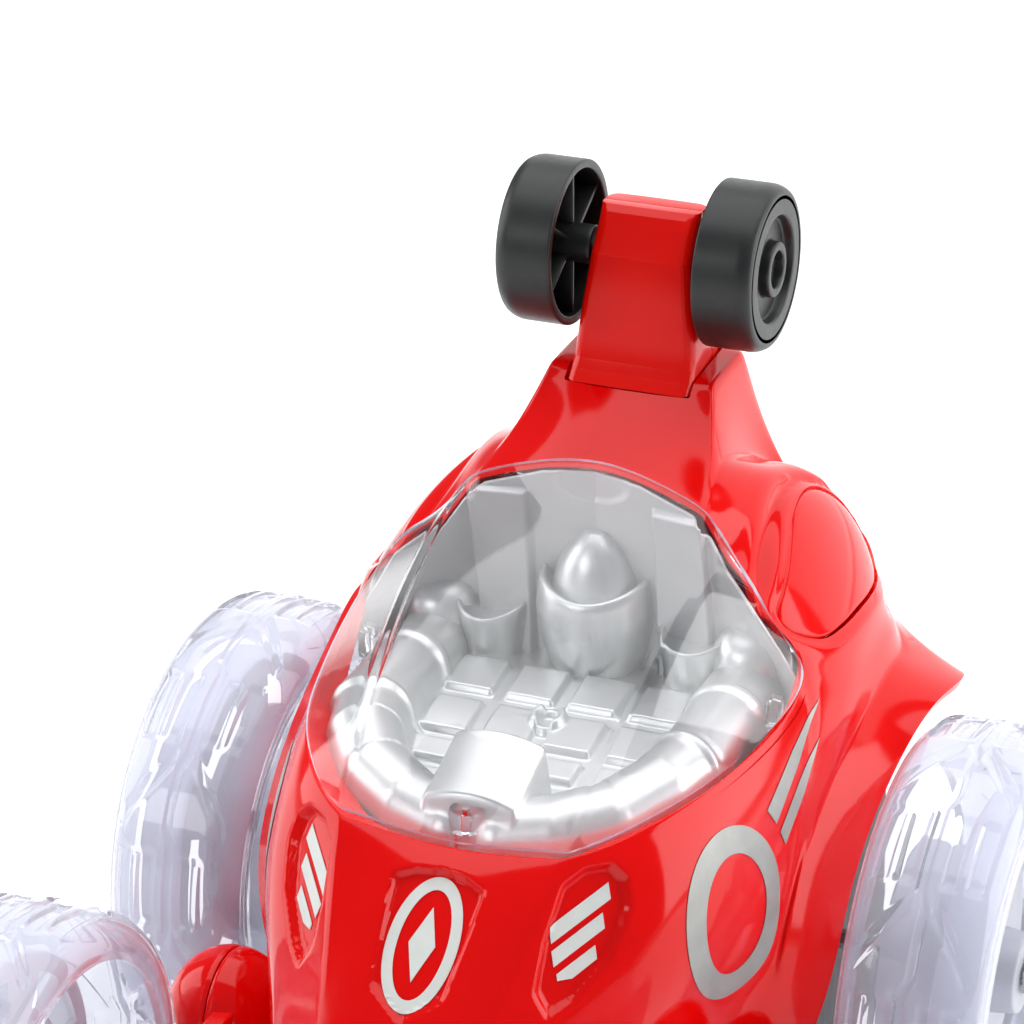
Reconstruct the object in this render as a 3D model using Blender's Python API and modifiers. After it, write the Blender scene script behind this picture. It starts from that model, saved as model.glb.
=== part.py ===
"""Radio-controlled stunt car: two large clear drive wheels, two clear front wheels on swing arms,
and a tail arm that carries a pair of small roll-over wheels.

Lengths are millimetres until at() or MM turns them into metres. Heights are above the floor.
Fore-and-aft stations (y) are measured from the rear axle, positive to the rear; at() moves them so
that the model's origin is the centre of its footprint. The car faces -Y, so +X is its left side.
"""

import math

import bmesh
import bpy
from mathutils import Matrix, Vector

MM = 0.001
SIDES = (("left", 1), ("right", -1))

# Driving dimensions
REAR_AXLE_Y = 62.75           # from the footprint's centre
REAR_R = 57.5                 # rear wheel radius, and so the axle's height
REAR_IN, REAR_OUT = 73.6, 107.8
FRONT_R = 50.0
FRONT_Y = -133.0
FRONT_IN, FRONT_OUT = 71.5, 105.5
BALL_X, BALL_Y, BALL_Z, BALL_R = 66.7, -70.7, 50.0, 14.2
TAIL_Y, TAIL_Z = 24.3, 213.4  # axle of the small wheels
TAIL_R = 19.5
TAIL_IN, TAIL_OUT = 17.2, 31.4
SHELL_T = 2.0                 # moulded red shell
CLEAR_T = 1.5                 # canopy
TRAY_T = 1.4
TUB_T = 2.0
TUB_Z = 20.0                  # underside of the chassis
AXLE_R = 2.5
FIT = 0.3                     # gap between touching pieces

# Gear train: drive gear on the axle, two-stage reduction gear, pinion on the motor shaft
DRIVE_T, SMALL_T, LARGE_T, PINION_T = 28, 9, 24, 9
DRIVE_MODULE, FIRST_MODULE = 1.0, 0.8
MESH_SLACK = 0.1
TRAIN_TILT = math.radians(160.0)   # direction from the axle towards the motor, in the y-z plane
MOTOR_R = 12.0
MOTOR_IN, MOTOR_OUT = 9.0, 38.3
CASE_IN, CASE_OUT = 38.8, 51.6
CASE_T = 1.6

# Moulded shell, half of it: one column for each point of the cockpit rim, from the front centre
# round the side to the rear centre. Rows run from the rim outwards and down to the lower edge.
SHELL = (
    ((0, -93.5, 117), (0, -98, 115), (0, -110, 104.5), (0, -124, 90), (0, -138, 72),
     (0, -146, 50), (0, -140, 27)),
    ((13, -94, 118.2), (13, -98.2, 115.3), (12, -110, 104.3), (11, -124, 90), (10, -137.5, 72),
     (11, -145.5, 50), (12, -139.5, 27)),
    ((26, -93.5, 119.8), (25.6, -97, 117), (22.6, -109, 103.3), (19, -122, 88), (17.5, -136, 71),
     (19, -143.5, 50), (22, -137.5, 27)),
    ((33, -89, 121.5), (33, -93, 117), (33, -101, 101), (30, -112, 85), (27, -131, 69),
     (29, -138, 50), (32, -132, 26)),
    ((41, -79, 124.2), (43.5, -83, 119), (46, -89, 105), (44.5, -99, 88), (41, -114, 69),
     (41, -121, 48), (42, -116, 26)),
    ((47.6, -66, 126), (50, -68, 121), (53, -73, 106), (53.5, -78, 88), (51, -87, 69),
     (48.5, -93, 46), (48.5, -90, 24)),
    ((51.4, -50, 127), (53.8, -52, 122), (57.5, -56, 107), (58.5, -60, 89), (55.5, -66, 69),
     (50.5, -68, 48), (50.5, -66, 24)),
    ((54.5, -34, 129), (57, -37, 123), (60, -46, 106), (60, -55, 88), (58.5, -60, 70),
     (54, -59, 48), (52.5, -57, 24)),
    ((55.5, -18.4, 133.2), (57.5, -21, 129), (60.5, -33, 113), (61.3, -47, 95), (61.7, -57, 75),
     (66.5, -53.5, 70), (71.6, -49.5, 64)),
    ((49.7, -19, 142.4), (54.5, -16, 139), (60, -20, 127), (62, -32, 111), (62.5, -47, 95.5),
     (67, -43.5, 91), (71.8, -39.5, 87)),
    ((44.8, -21, 151), (48, -14, 149), (57, -6, 139), (62, -12, 124), (63, -25, 112),
     (67.5, -23, 107), (72, -21, 102.8)),
    ((39.4, -17.5, 154.8), (42.5, -10, 153.5), (52, 6, 148), (60.5, 8, 135), (63.5, 5, 119),
     (68, 5, 116), (73.4, 6, 112.6)),
    ((34.8, -14.6, 158), (37.5, -7, 160), (43, 12, 160), (55, 24, 145), (63.5, 24, 122),
     (69, 24, 118.5), (75.8, 22, 115.8)),
    ((28.3, -12.4, 167.6), (30.3, -4, 166.5), (31, 13, 167), (36, 32, 163), (56, 42, 128),
     (65, 43, 118.5), (76, 41, 112.8)),
    ((24, -12, 170), (22.5, 0, 178.5), (20, 13.3, 187), (21.5, 34.5, 189), (33, 46, 160),
     (45, 52, 132), (57, 52.5, 108)),
    ((12, -10.5, 173), (11.5, 0.5, 179), (10.5, 13.6, 187.3), (11, 36.5, 189.5), (17, 49, 163),
     (22, 53.5, 134), (27, 55.5, 106)),
    ((0, -8, 173.5), (0, 1, 179.2), (0, 13.7, 187.5), (0, 37, 189.5), (0, 50, 164),
     (0, 54.5, 134), (0, 56.5, 105)),
)
PANEL_COLUMN, PYLON_COLUMN = 2, 14
FLARE_ROW = 4

# Chassis tub, half of it: (x, y, height of the wall's top)
TUB = (
    (0, -134, 36), (18, -132.5, 36), (28, -125, 36), (37, -110, 36), (43.5, -90, 62),
    (46, -64, 62), (48, -54, 62), (56.5, -45, 100), (56.5, 0, 104), (56.5, 42, 104),
    (50, 48, 104), (0, 50, 104),
)

# Tail arm: (height, front y, back y, half width), from the foot in the socket to the top
ARM = (
    (170, 18.5, 31, 12.5), (184, 18.5, 31, 12.5), (185.4, 14.2, 33, 15), (194, 14.6, 33.5, 15),
    (204.6, 15.6, 34.2, 13.4), (213.8, 17.3, 34.5, 12.3), (219.6, 20.8, 34, 12),
    (222.6, 22.8, 33, 12), (224, 24.4, 31.8, 12),
)
ARM_SPLIT = 27.2
ARM_T = 1.5
SOCKET_HALF = 15.5

POD_CENTRE = (48.5, 12.0, 149.0)
POD_RADII = (10.5, 16.0, 18.0)
POD_SEAT = 8.0                # the pod reaches this far behind its middle plane
POD_FACING = (0.62, -0.35, 0.70)

# Battery door, switch and screws in the chassis floor
DOOR_HALF, DOOR_FRONT, DOOR_BACK = 24.0, -117.0, -73.0
SWITCH_Y = 18.0
SCREWS = ((36, -97), (-36, -97), (44, 40), (-44, 40))

# Printed marks: middle of each flat drawing, which starts this far off the shell
EMBLEM_CENTRE = (0, -111, 103)
BADGE_CENTRE = (33, -99, 104)
DECAL_CENTRE = (55, -65, 98)
LABEL_DROP = 14.0

COLLECTION = "rc_stunt_car"
CUTTERS = "cutters"

FINISHES = {
    "red_shell": ((0.80, 0.012, 0.010, 1.0), 0.16, 0.0, 0.0),
    "clear": ((0.90, 0.90, 0.97, 1.0), 0.06, 0.0, 0.92),
    "frosted": ((0.80, 0.81, 0.88, 1.0), 0.45, 0.0, 0.45),
    "black_satin": ((0.012, 0.012, 0.013, 1.0), 0.36, 0.0, 0.0),
    "silver": ((0.62, 0.64, 0.64, 1.0), 0.30, 0.85, 0.0),
    "print_white": ((0.78, 0.79, 0.76, 1.0), 0.40, 0.0, 0.0),
    "print_grey": ((0.42, 0.42, 0.40, 1.0), 0.38, 0.3, 0.0),
    "steel": ((0.60, 0.60, 0.62, 1.0), 0.28, 1.0, 0.0),
    "gear_white": ((0.75, 0.74, 0.68, 1.0), 0.50, 0.0, 0.0),
    "battery_wrap": ((0.05, 0.12, 0.40, 1.0), 0.35, 0.0, 0.0),
    "board_green": ((0.02, 0.20, 0.07, 1.0), 0.45, 0.0, 0.0),
}


def at(x, y, z):
    return Vector((x, y + REAR_AXLE_Y, z)) * MM


def clear_scene():
    for obj in list(bpy.data.objects):
        bpy.data.objects.remove(obj, do_unlink=True)


def collection(name):
    found = bpy.data.collections.get(name)
    if found is None:
        found = bpy.data.collections.new(name)
        bpy.context.scene.collection.children.link(found)
    return found


def finish(obj, name):
    material = bpy.data.materials.new(obj.name)
    material.use_nodes = True
    shader = material.node_tree.nodes["Principled BSDF"]
    colour, roughness, metallic, transmission = FINISHES[name]
    shader.inputs["Base Color"].default_value = colour
    shader.inputs["Roughness"].default_value = roughness
    shader.inputs["Metallic"].default_value = metallic
    shader.inputs["Transmission Weight"].default_value = transmission
    material.diffuse_color = colour
    obj.data.materials.append(material)


def part(name, bm, finish_name, location=None):
    mesh = bpy.data.meshes.new(name)
    bm.to_mesh(mesh)
    bm.free()
    obj = bpy.data.objects.new(name, mesh)
    collection(COLLECTION).objects.link(obj)
    if location is not None:
        obj.location = location
    if finish_name:
        finish(obj, finish_name)
    return obj


def as_cutter(obj):
    collection(COLLECTION).objects.unlink(obj)
    collection(CUTTERS).objects.link(obj)
    obj.hide_render = True
    obj.display_type = "WIRE"
    return obj


def boolean(obj, other, operation="DIFFERENCE"):
    modifier = obj.modifiers.new(operation.lower(), "BOOLEAN")
    modifier.operation = operation
    modifier.solver = "EXACT"
    modifier.object = other


def mirror(obj):
    modifier = obj.modifiers.new("mirror", "MIRROR")
    modifier.use_axis = (True, False, False)
    modifier.use_clip = True
    modifier.merge_threshold = 0.0001


def subdivide(obj, levels=1):
    modifier = obj.modifiers.new("subdivision", "SUBSURF")
    modifier.levels = levels
    modifier.render_levels = levels


def thicken(obj, thickness, offset=-1.0):
    modifier = obj.modifiers.new("thickness", "SOLIDIFY")
    modifier.thickness = thickness * MM
    modifier.offset = offset
    modifier.use_even_offset = True
    modifier.use_quality_normals = True


def bevel(obj, width, segments=1):
    modifier = obj.modifiers.new("bevel", "BEVEL")
    modifier.width = width * MM
    modifier.segments = segments
    modifier.limit_method = "ANGLE"
    modifier.angle_limit = math.radians(40)


def grid_mesh(columns):
    """A sheet whose faces point away from the car when columns go round and rows go down."""
    bm = bmesh.new()
    points = [[bm.verts.new(at(*point)) for point in column] for column in columns]
    for here, there in zip(points, points[1:]):
        for row in range(len(here) - 1):
            bm.faces.new((here[row], here[row + 1], there[row + 1], there[row]))
    return bm, points


def crease(bm, chain, value=1.0):
    layer = bm.edges.layers.float.get("crease_edge") or bm.edges.layers.float.new("crease_edge")
    for first, second in zip(chain, chain[1:]):
        edge = bm.edges.get((first, second))
        if edge is not None:
            edge[layer] = value


def block(name, low, high, finish_name, round_off=0.0):
    bm = bmesh.new()
    bmesh.ops.create_cube(bm, size=1.0)
    low, high = at(*low), at(*high)
    centre = (low + high) / 2
    bmesh.ops.scale(bm, vec=high - low, verts=bm.verts)
    obj = part(name, bm, finish_name, centre)
    if round_off:
        bevel(obj, round_off, 2)
    return obj


def rod(name, radius, x_from, x_to, y, z, finish_name, segments=12):
    """A plain round bar along X."""
    bm = bmesh.new()
    turn = Matrix.Rotation(math.pi / 2, 4, "Y")
    bmesh.ops.create_cone(
        bm, cap_ends=True, segments=segments, radius1=radius * MM, radius2=radius * MM,
        depth=abs(x_to - x_from) * MM, matrix=turn)
    bmesh.ops.translate(bm, verts=bm.verts, vec=((x_from + x_to) / 2 * MM, 0, 0))
    return part(name, bm, finish_name, at(0, y, z))


def post(name, radius, x, y, z_from, z_to, finish_name, segments=12):
    """A plain round bar standing up."""
    bm = bmesh.new()
    bmesh.ops.create_cone(
        bm, cap_ends=True, segments=segments, radius1=radius * MM, radius2=radius * MM,
        depth=(z_to - z_from) * MM)
    return part(name, bm, finish_name, at(x, y, (z_from + z_to) / 2))


def turn(obj, segments):
    screw = obj.modifiers.new("turn", "SCREW")
    screw.steps = segments
    screw.render_steps = segments
    screw.use_merge_vertices = True
    screw.merge_threshold = 0.00001
    screw.use_smooth_shade = True


def turned(name, profile, y, z, side, finish_name, segments=36, closed=True):
    """A shape turned about an axle along X. The profile is (radius, x) and ends where it began,
    or on the axis when it isn't closed."""
    area = sum(a[0] * b[1] - b[0] * a[1] for a, b in zip(profile, profile[1:] + profile[:1]))
    ordered = list(profile) if area < 0 else list(reversed(profile))
    bm = bmesh.new()
    verts = [bm.verts.new((radius * MM, 0, x * MM)) for radius, x in ordered]
    for first, second in zip(verts, verts[1:]):
        bm.edges.new((first, second))
    if closed:
        bm.edges.new((verts[-1], verts[0]))
    obj = part(name, bm, finish_name, at(0, y, z))
    obj.rotation_euler = (0, side * math.pi / 2, 0)
    turn(obj, segments)
    return obj


def prism(name, outline, x_from, x_to, y, z, finish_name):
    """A flat outline in the y-z plane, extruded along X, about a centre at y, z."""
    bm = bmesh.new()
    near = [bm.verts.new((x_from * MM, py * MM, pz * MM)) for py, pz in outline]
    far = [bm.verts.new((x_to * MM, py * MM, pz * MM)) for py, pz in outline]
    bm.faces.new(near)
    bm.faces.new(far)
    for k in range(len(outline)):
        following = (k + 1) % len(outline)
        bm.faces.new((near[k], near[following], far[following], far[k]))
    bmesh.ops.recalc_face_normals(bm, faces=bm.faces)
    return part(name, bm, finish_name, at(0, y, z))


def gear_outline(teeth, module, tooth_angle):
    """A gear with one tooth centred on tooth_angle."""
    pitch_radius = teeth * module / 2
    tip, root = pitch_radius + 0.8 * module, pitch_radius - 1.05 * module
    half = math.pi / teeth / 2 * 0.8
    points = []
    for k in range(teeth):
        middle = tooth_angle + k * math.tau / teeth
        for radius, offset in ((root, -1.3), (tip, -0.5), (tip, 0.5), (root, 1.3)):
            angle = middle + offset * half
            points.append((radius * math.cos(angle), radius * math.sin(angle)))
    return points


def belt_outline(first, first_r, second, second_r, steps=8):
    """The outline of a belt round two circles, counter-clockwise."""
    dy, dz = second[0] - first[0], second[1] - first[1]
    distance, heading = math.hypot(dy, dz), math.atan2(dz, dy)
    lean = math.acos((first_r - second_r) / distance)
    points = []
    for centre, radius, start, stop in (
            (first, first_r, heading + lean, heading + math.tau - lean),
            (second, second_r, heading - lean, heading + lean)):
        for k in range(steps + 1):
            angle = start + (stop - start) * k / steps
            points.append((centre[0] + radius * math.cos(angle), centre[1] + radius * math.sin(angle)))
    return points


def mirrored(points):
    """Closes a half outline that starts and ends on the centre plane."""
    back = [(-p[0],) + tuple(p[1:]) for p in reversed(points[1:-1])]
    return list(points) + back


def body_shell():
    bm, points = grid_mesh(SHELL)
    crease(bm, points[PANEL_COLUMN][:5], 0.8)
    crease(bm, points[PYLON_COLUMN][:4], 0.9)
    crease(bm, [column[FLARE_ROW] for column in points[8:14]], 0.9)
    for row in (2, 3):
        crease(bm, [column[row] for column in points[PYLON_COLUMN:]], 0.8)
    shell = part("body_shell", bm, "red_shell")
    mirror(shell)
    subdivide(shell)
    thicken(shell, SHELL_T)
    socket = as_cutter(block(
        "socket_cutter", (-SOCKET_HALF, -5, 184.6), (SOCKET_HALF, 34.2, 200), None))
    boolean(shell, socket)
    for word, side in SIDES:
        boolean(shell, as_cutter(pod(f"pod_cutter_{word}", side, FIT + 0.1, None)))
        hole = rod(f"pin_cutter_{word}", 3.0, side * 40, side * 56, BALL_Y, BALL_Z, None)
        boolean(shell, as_cutter(hole))
    return shell


def pod(name, side, grow, finish_name):
    """An egg-shaped pod, cut flat on the side that faces into the body."""
    bm = bmesh.new()
    bmesh.ops.create_uvsphere(bm, u_segments=14, v_segments=9, radius=1.0)
    radii = [(radius + grow) * MM for radius in POD_RADII]
    bmesh.ops.scale(bm, vec=radii, verts=bm.verts)
    outward = Vector((side * POD_FACING[0], POD_FACING[1], POD_FACING[2])).normalized()
    seat = -outward * (POD_SEAT + grow) * MM
    cut = bmesh.ops.bisect_plane(
        bm, geom=bm.verts[:] + bm.edges[:] + bm.faces[:], plane_co=seat, plane_no=outward,
        clear_inner=True)
    rim = [item for item in cut["geom_cut"] if isinstance(item, bmesh.types.BMEdge)]
    bmesh.ops.contextual_create(bm, geom=rim)
    bmesh.ops.recalc_face_normals(bm, faces=bm.faces)
    x, y, z = POD_CENTRE
    return part(name, bm, finish_name, at(side * x, y, z))


def canopy():
    """Three clear facets, folded along two arched lines. Its edge sits just inside the rim."""
    def edge(column):
        rim, beside = Vector(SHELL[column][0]), Vector(SHELL[column][1])
        return rim + (rim - beside).normalized() * 1.3

    front_fold, rear_fold = edge(2), edge(14)
    front_mid, rear_mid = edge(0), edge(16)
    places = (0.0, 0.10, 0.21, 0.33, 0.47, 0.61, 0.72, 0.81, 0.89, 0.95, 1.0)
    columns = []
    for k, t in enumerate(places):
        bump = 4 * t * (1 - t)
        fold = front_fold.lerp(rear_fold, t) + Vector((4.5 * bump, 0, 9 * bump))
        middle = front_mid.lerp(rear_mid, t) + Vector((0, 0, 11 * bump))
        columns.append([middle, fold, edge(3 + k)])
    bm, points = grid_mesh(columns)
    bmesh.ops.reverse_faces(bm, faces=bm.faces)
    crease(bm, [column[1] for column in points], 0.9)
    obj = part("canopy", bm, "clear")
    mirror(obj)
    subdivide(obj)
    thicken(obj, CLEAR_T)
    return obj


def cockpit_tray():
    """A shallow silver tray under the canopy, with a tall wall behind the seats."""
    middle = Vector((0, -50, 0))
    floor_z, floor_front, floor_back = 112.0, -82.0, -17.0
    columns = []
    for column in SHELL:
        rim = Vector(column[0])
        flat = Vector((rim.x, rim.y, 0)) - middle
        top = middle + flat * (1 - 5.5 / flat.length)
        top.z = rim.z - 3.5
        foot = middle + flat * 0.78
        foot.y = min(max(foot.y, floor_front), floor_back)
        foot.z = floor_z
        lift = top.lerp(foot, 0.6)
        lift.z = min(lift.z, floor_z + 5)
        inner = middle + (foot - middle) * 0.5
        inner.z = floor_z
        columns.append([top, lift, foot, inner])
    for column in columns:
        column[0].x = max(column[0].x, 0)
    bm, points = grid_mesh(columns)
    bm.faces.new([column[-1] for column in points])
    bmesh.ops.recalc_face_normals(bm, faces=bm.faces)
    up = sum(face.normal.z for face in bm.faces)
    if up < 0:
        bmesh.ops.reverse_faces(bm, faces=bm.faces)
    obj = part("cockpit_tray", bm, "silver")
    mirror(obj)
    thicken(obj, TRAY_T)
    return obj


def chassis_tub():
    outline = mirrored(TUB)
    bm = bmesh.new()
    low = [bm.verts.new(at(x, y, TUB_Z)) for x, y, _ in outline]
    high = [bm.verts.new(at(*point)) for point in outline]
    bm.faces.new(low)
    for k in range(len(outline)):
        following = (k + 1) % len(outline)
        bm.faces.new((low[k], low[following], high[following], high[k]))
    bmesh.ops.recalc_face_normals(bm, faces=bm.faces)
    floor = min(bm.faces, key=lambda face: face.calc_center_median().z)
    if floor.normal.z > 0:
        bmesh.ops.reverse_faces(bm, faces=bm.faces)
    tub = part("chassis_tub", bm, "black_satin")
    thicken(tub, TUB_T)
    cutters = [block("door_cutter", (-DOOR_HALF, DOOR_FRONT, 15), (DOOR_HALF, DOOR_BACK, 28), None)]
    cutters.append(block("switch_cutter", (-7, SWITCH_Y - 3, 15), (9, SWITCH_Y + 3, 28), None))
    for word, side in SIDES:
        cutters.append(rod(f"axle_cutter_{word}", AXLE_R + 0.8, side * 50, side * 62, 0, REAR_R, None))
        cutters.append(rod(f"pivot_cutter_{word}", 3.0, side * 38, side * 50, BALL_Y, BALL_Z, None))
    for k, (x, y) in enumerate(SCREWS):
        cutters.append(post(f"screw_cutter_{k}", 1.8, x, y, 15, 28, None))
    for cutter in cutters:
        boolean(tub, as_cutter(cutter))
    return tub


def arm_half(name, front):
    """Half of the tail arm: a channel that is open towards the other half and at its foot."""
    split = ARM_SPLIT - FIT / 2 if front else ARM_SPLIT + FIT / 2
    rows = []
    for z, near, far, half in ARM:
        face = near if front else far
        toward = 1 if front else -1
        corner = min(2.5, abs(split - face) * 0.45)
        rows.append([
            (half, split, z), (half, face + toward * corner, z), (half - corner, face, z), (0, face, z)])
    bm = bmesh.new()
    points = [[bm.verts.new(at(*point)) for point in row] for row in rows]
    for lower, upper in zip(points, points[1:]):
        for k in range(3):
            bm.faces.new((lower[k], lower[k + 1], upper[k + 1], upper[k]))
    top_middle = bm.verts.new(at(0, split, ARM[-1][0]))
    last = points[-1]
    bm.faces.new((last[0], last[1], last[2], last[3], top_middle))
    bmesh.ops.recalc_face_normals(bm, faces=bm.faces)
    facing_y = sum(face.normal.y for face in bm.faces)
    if (facing_y > 0) == front:
        bmesh.ops.reverse_faces(bm, faces=bm.faces)
    obj = part(name, bm, "red_shell")
    mirror(obj)
    thicken(obj, ARM_T)
    if front:
        boolean(obj, as_cutter(rod("tail_bore_cutter", 1.9, -20, 20, TAIL_Y, TAIL_Z, None)))
    return obj


def tail_wheels():
    rod("arm_axle", 1.6, -29.5, 29.5, TAIL_Y, TAIL_Z, "steel")
    profile = [
        (1.9, 13), (4.6, 13), (4.6, 27.6), (17.2, 27.6), (17.2, TAIL_IN), (TAIL_R - 0.6, TAIL_IN),
        (TAIL_R, TAIL_IN + 0.9), (TAIL_R, 28.4), (TAIL_R - 0.9, 30.2), (TAIL_R - 2.6, 31),
        (12.8, 31), (12.2, 29.9), (7, 29.9), (6.5, TAIL_OUT), (1.9, TAIL_OUT)]
    for word, side in SIDES:
        turned(f"arm_wheel_{word}", profile, TAIL_Y, TAIL_Z, side, "black_satin", 20)


def wheel_ring(radius, inner, outer, lip, wall=2.0):
    """Section of a hollow clear tyre: out along the inner flank, over the tread and back inside."""
    steps = ((lip, 0.4), (radius - 7, 0), (radius - 2.6, 2.6), (radius, 9.0))
    outside = [(r, inner + x) for r, x in steps] + [(r, outer - x) for r, x in reversed(steps)]
    inside = []
    for r, x in steps:
        deep = (r - wall * (r - lip) / (radius - lip), x + wall * (radius - r) / (radius - lip))
        inside.append(deep)
    back = [(r, outer - x) for r, x in inside] + [(r, inner + x) for r, x in reversed(inside)]
    return outside + back


def rear_wheels():
    ring = wheel_ring(REAR_R, REAR_IN, REAR_OUT, 44)
    hub = [
        (AXLE_R + FIT, 78), (9, 78), (9, 92), (43.5, 92), (43.5, 104.8), (41.5, 104.8), (41.5, 94),
        (11, 94), (11, 104.4), (AXLE_R + FIT, 104.4)]
    bore = AXLE_R + 3 * FIT
    nut = [(bore, 104.8), (5.0, 104.8), (5.0, 107.4), (bore, 107.4)]
    for word, side in SIDES:
        turned(f"rear_wheel_shell_{word}", ring, 0, REAR_R, side, "clear", 28)
        turned(f"rear_wheel_hub_{word}", hub, 0, REAR_R, side, "frosted", 20)
        turned(f"axle_nut_{word}", nut, 0, REAR_R, side, "steel", 6)
        rod(f"rear_axle_{word}", AXLE_R, side * 36, side * 107, 0, REAR_R, "steel")


def front_wheels():
    ring = wheel_ring(FRONT_R, FRONT_IN, FRONT_OUT, 39)
    hub = [
        (2.3, 80), (7, 80), (7, 96), (38.5, 96), (38.5, 103), (36.5, 103), (36.5, 98), (9, 98),
        (9, 103), (2.3, 103)]
    for word, side in SIDES:
        turned(f"front_wheel_shell_{word}", ring, FRONT_Y, BALL_Z, side, "clear", 28)
        turned(f"front_wheel_hub_{word}", hub, FRONT_Y, BALL_Z, side, "frosted", 20)
        rod(f"front_axle_{word}", 2.0, side * 58, side * 102, FRONT_Y, BALL_Z, "steel", 12)


def swing_arms():
    """Trailing arms that carry the front wheels. Each pivots inside a round red ball."""
    reach = FRONT_Y - BALL_Y
    steps = 6
    middle_x = BALL_X - FIT / 2

    def half_ball(start_x, sign):
        """Profile from the middle plane's centre out to the equator and round to the pole."""
        points = [(0, start_x), (BALL_R, start_x)]
        for k in range(1, steps + 1):
            angle = math.pi / 2 * k / steps
            radius = BALL_R * math.cos(angle) if k < steps else 0
            points.append((radius, BALL_X + sign * BALL_R * math.sin(angle)))
        return points

    inner = half_ball(middle_x, -1)
    outer = half_ball(middle_x + FIT, 1)
    outline = belt_outline((0, 0), 8.5, (reach, 0), 7.0, 6)
    for word, side in SIDES:
        arm = prism(f"swing_arm_{word}", outline, side * 60, side * 65.5, BALL_Y, BALL_Z, "red_shell")
        ball = turned(f"ball_body_{word}", inner, BALL_Y, BALL_Z, side, None, 16, closed=False)
        boolean(arm, as_cutter(ball), "UNION")
        bore = rod(f"arm_bore_cutter_{word}", AXLE_R + FIT, side * 50, side * 65, BALL_Y, BALL_Z, None)
        boolean(arm, as_cutter(bore))
        seat = rod(f"axle_seat_cutter_{word}", 2.3, side * 55, side * 70, FRONT_Y, BALL_Z, None, 12)
        boolean(arm, as_cutter(seat))
        turned(f"swing_arm_cap_{word}", outer, BALL_Y, BALL_Z, side, "red_shell", 16, closed=False)
        rod(f"swing_arm_pin_{word}", AXLE_R, side * 38, side * 64.5, BALL_Y, BALL_Z, "steel")


def gearboxes():
    first_r = DRIVE_MODULE * (DRIVE_T + SMALL_T) / 2 + MESH_SLACK
    second_r = FIRST_MODULE * (LARGE_T + PINION_T) / 2 + MESH_SLACK
    along = (math.cos(TRAIN_TILT), math.sin(TRAIN_TILT))
    idler = (first_r * along[0], REAR_R + first_r * along[1])
    motor = (idler[0] + second_r * along[0], idler[1] + second_r * along[1])
    back = TRAIN_TILT + math.pi
    case_outline = belt_outline((0, 0), 17.6, (motor[0], motor[1] - REAR_R), 13.6)
    can = [(1.6, MOTOR_IN), (MOTOR_R - 1, MOTOR_IN), (MOTOR_R, MOTOR_IN + 1), (MOTOR_R, MOTOR_OUT - 1),
           (MOTOR_R - 1, MOTOR_OUT), (1.6, MOTOR_OUT)]
    for word, side in SIDES:
        drive = prism(f"drive_gear_{word}", gear_outline(DRIVE_T, DRIVE_MODULE, TRAIN_TILT),
                      side * 46.6, side * 50.4, 0, REAR_R, "gear_white")
        bore = rod(f"drive_bore_{word}", AXLE_R + FIT, side * 40, side * 56, 0, REAR_R, None)
        boolean(drive, as_cutter(bore))

        large = prism(f"reduction_gear_{word}", gear_outline(LARGE_T, FIRST_MODULE, TRAIN_TILT),
                      side * 42.4, side * 45.4, *idler, "gear_white")
        small = prism(f"small_gear_{word}",
                      gear_outline(SMALL_T, DRIVE_MODULE, back + math.pi / SMALL_T),
                      side * 45.0, side * 50.8, *idler, None)
        boolean(large, as_cutter(small), "UNION")
        shaft = rod(f"idler_shaft_{word}", 1.5, side * 39.2, side * 53.4, *idler, None, 12)
        boolean(large, as_cutter(shaft), "UNION")

        teeth = gear_outline(PINION_T, FIRST_MODULE, back + math.pi / PINION_T)
        pinion = prism(f"motor_shaft_{word}", teeth, side * 42.2, side * 45.6, *motor, "steel")
        shaft = rod(f"shaft_rod_{word}", 1.0, side * 12, side * 47, *motor, None, 12)
        boolean(pinion, as_cutter(shaft), "UNION")
        turned(f"motor_{word}", can, *motor, side, "steel", 16)
        gearbox(word, side, case_outline, idler, motor)


def gearbox(word, side, outline, idler, motor):
    bm = bmesh.new()
    near = [bm.verts.new((side * CASE_IN * MM, y * MM, z * MM)) for y, z in outline]
    far = [bm.verts.new((side * CASE_OUT * MM, y * MM, z * MM)) for y, z in outline]
    plate = bm.faces.new(near)
    for k in range(len(outline)):
        following = (k + 1) % len(outline)
        bm.faces.new((near[k], near[following], far[following], far[k]))
    bmesh.ops.recalc_face_normals(bm, faces=bm.faces)
    if plate.normal.x * side > 0:
        bmesh.ops.reverse_faces(bm, faces=bm.faces)
    case = part(f"gearbox_case_{word}", bm, "black_satin", at(0, 0, REAR_R))
    thicken(case, CASE_T)
    cover = prism(f"gearbox_cover_{word}", outline, side * (CASE_OUT + FIT), side * 53.6, 0, REAR_R,
                  "black_satin")
    holes = (("axle", AXLE_R + 0.5, 0, REAR_R), ("idler", 1.8, *idler), ("motor", 1.6, *motor))
    for kind, radius, y, z in holes:
        cutter = rod(f"case_{kind}_hole_{word}", radius, side * 36, side * 42, y, z, None)
        boolean(case, as_cutter(cutter))
    for kind, radius, y, z in holes[:2]:
        cutter = rod(f"cover_{kind}_hole_{word}", radius, side * 50, side * 56, y, z, None)
        boolean(cover, as_cutter(cutter))


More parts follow.
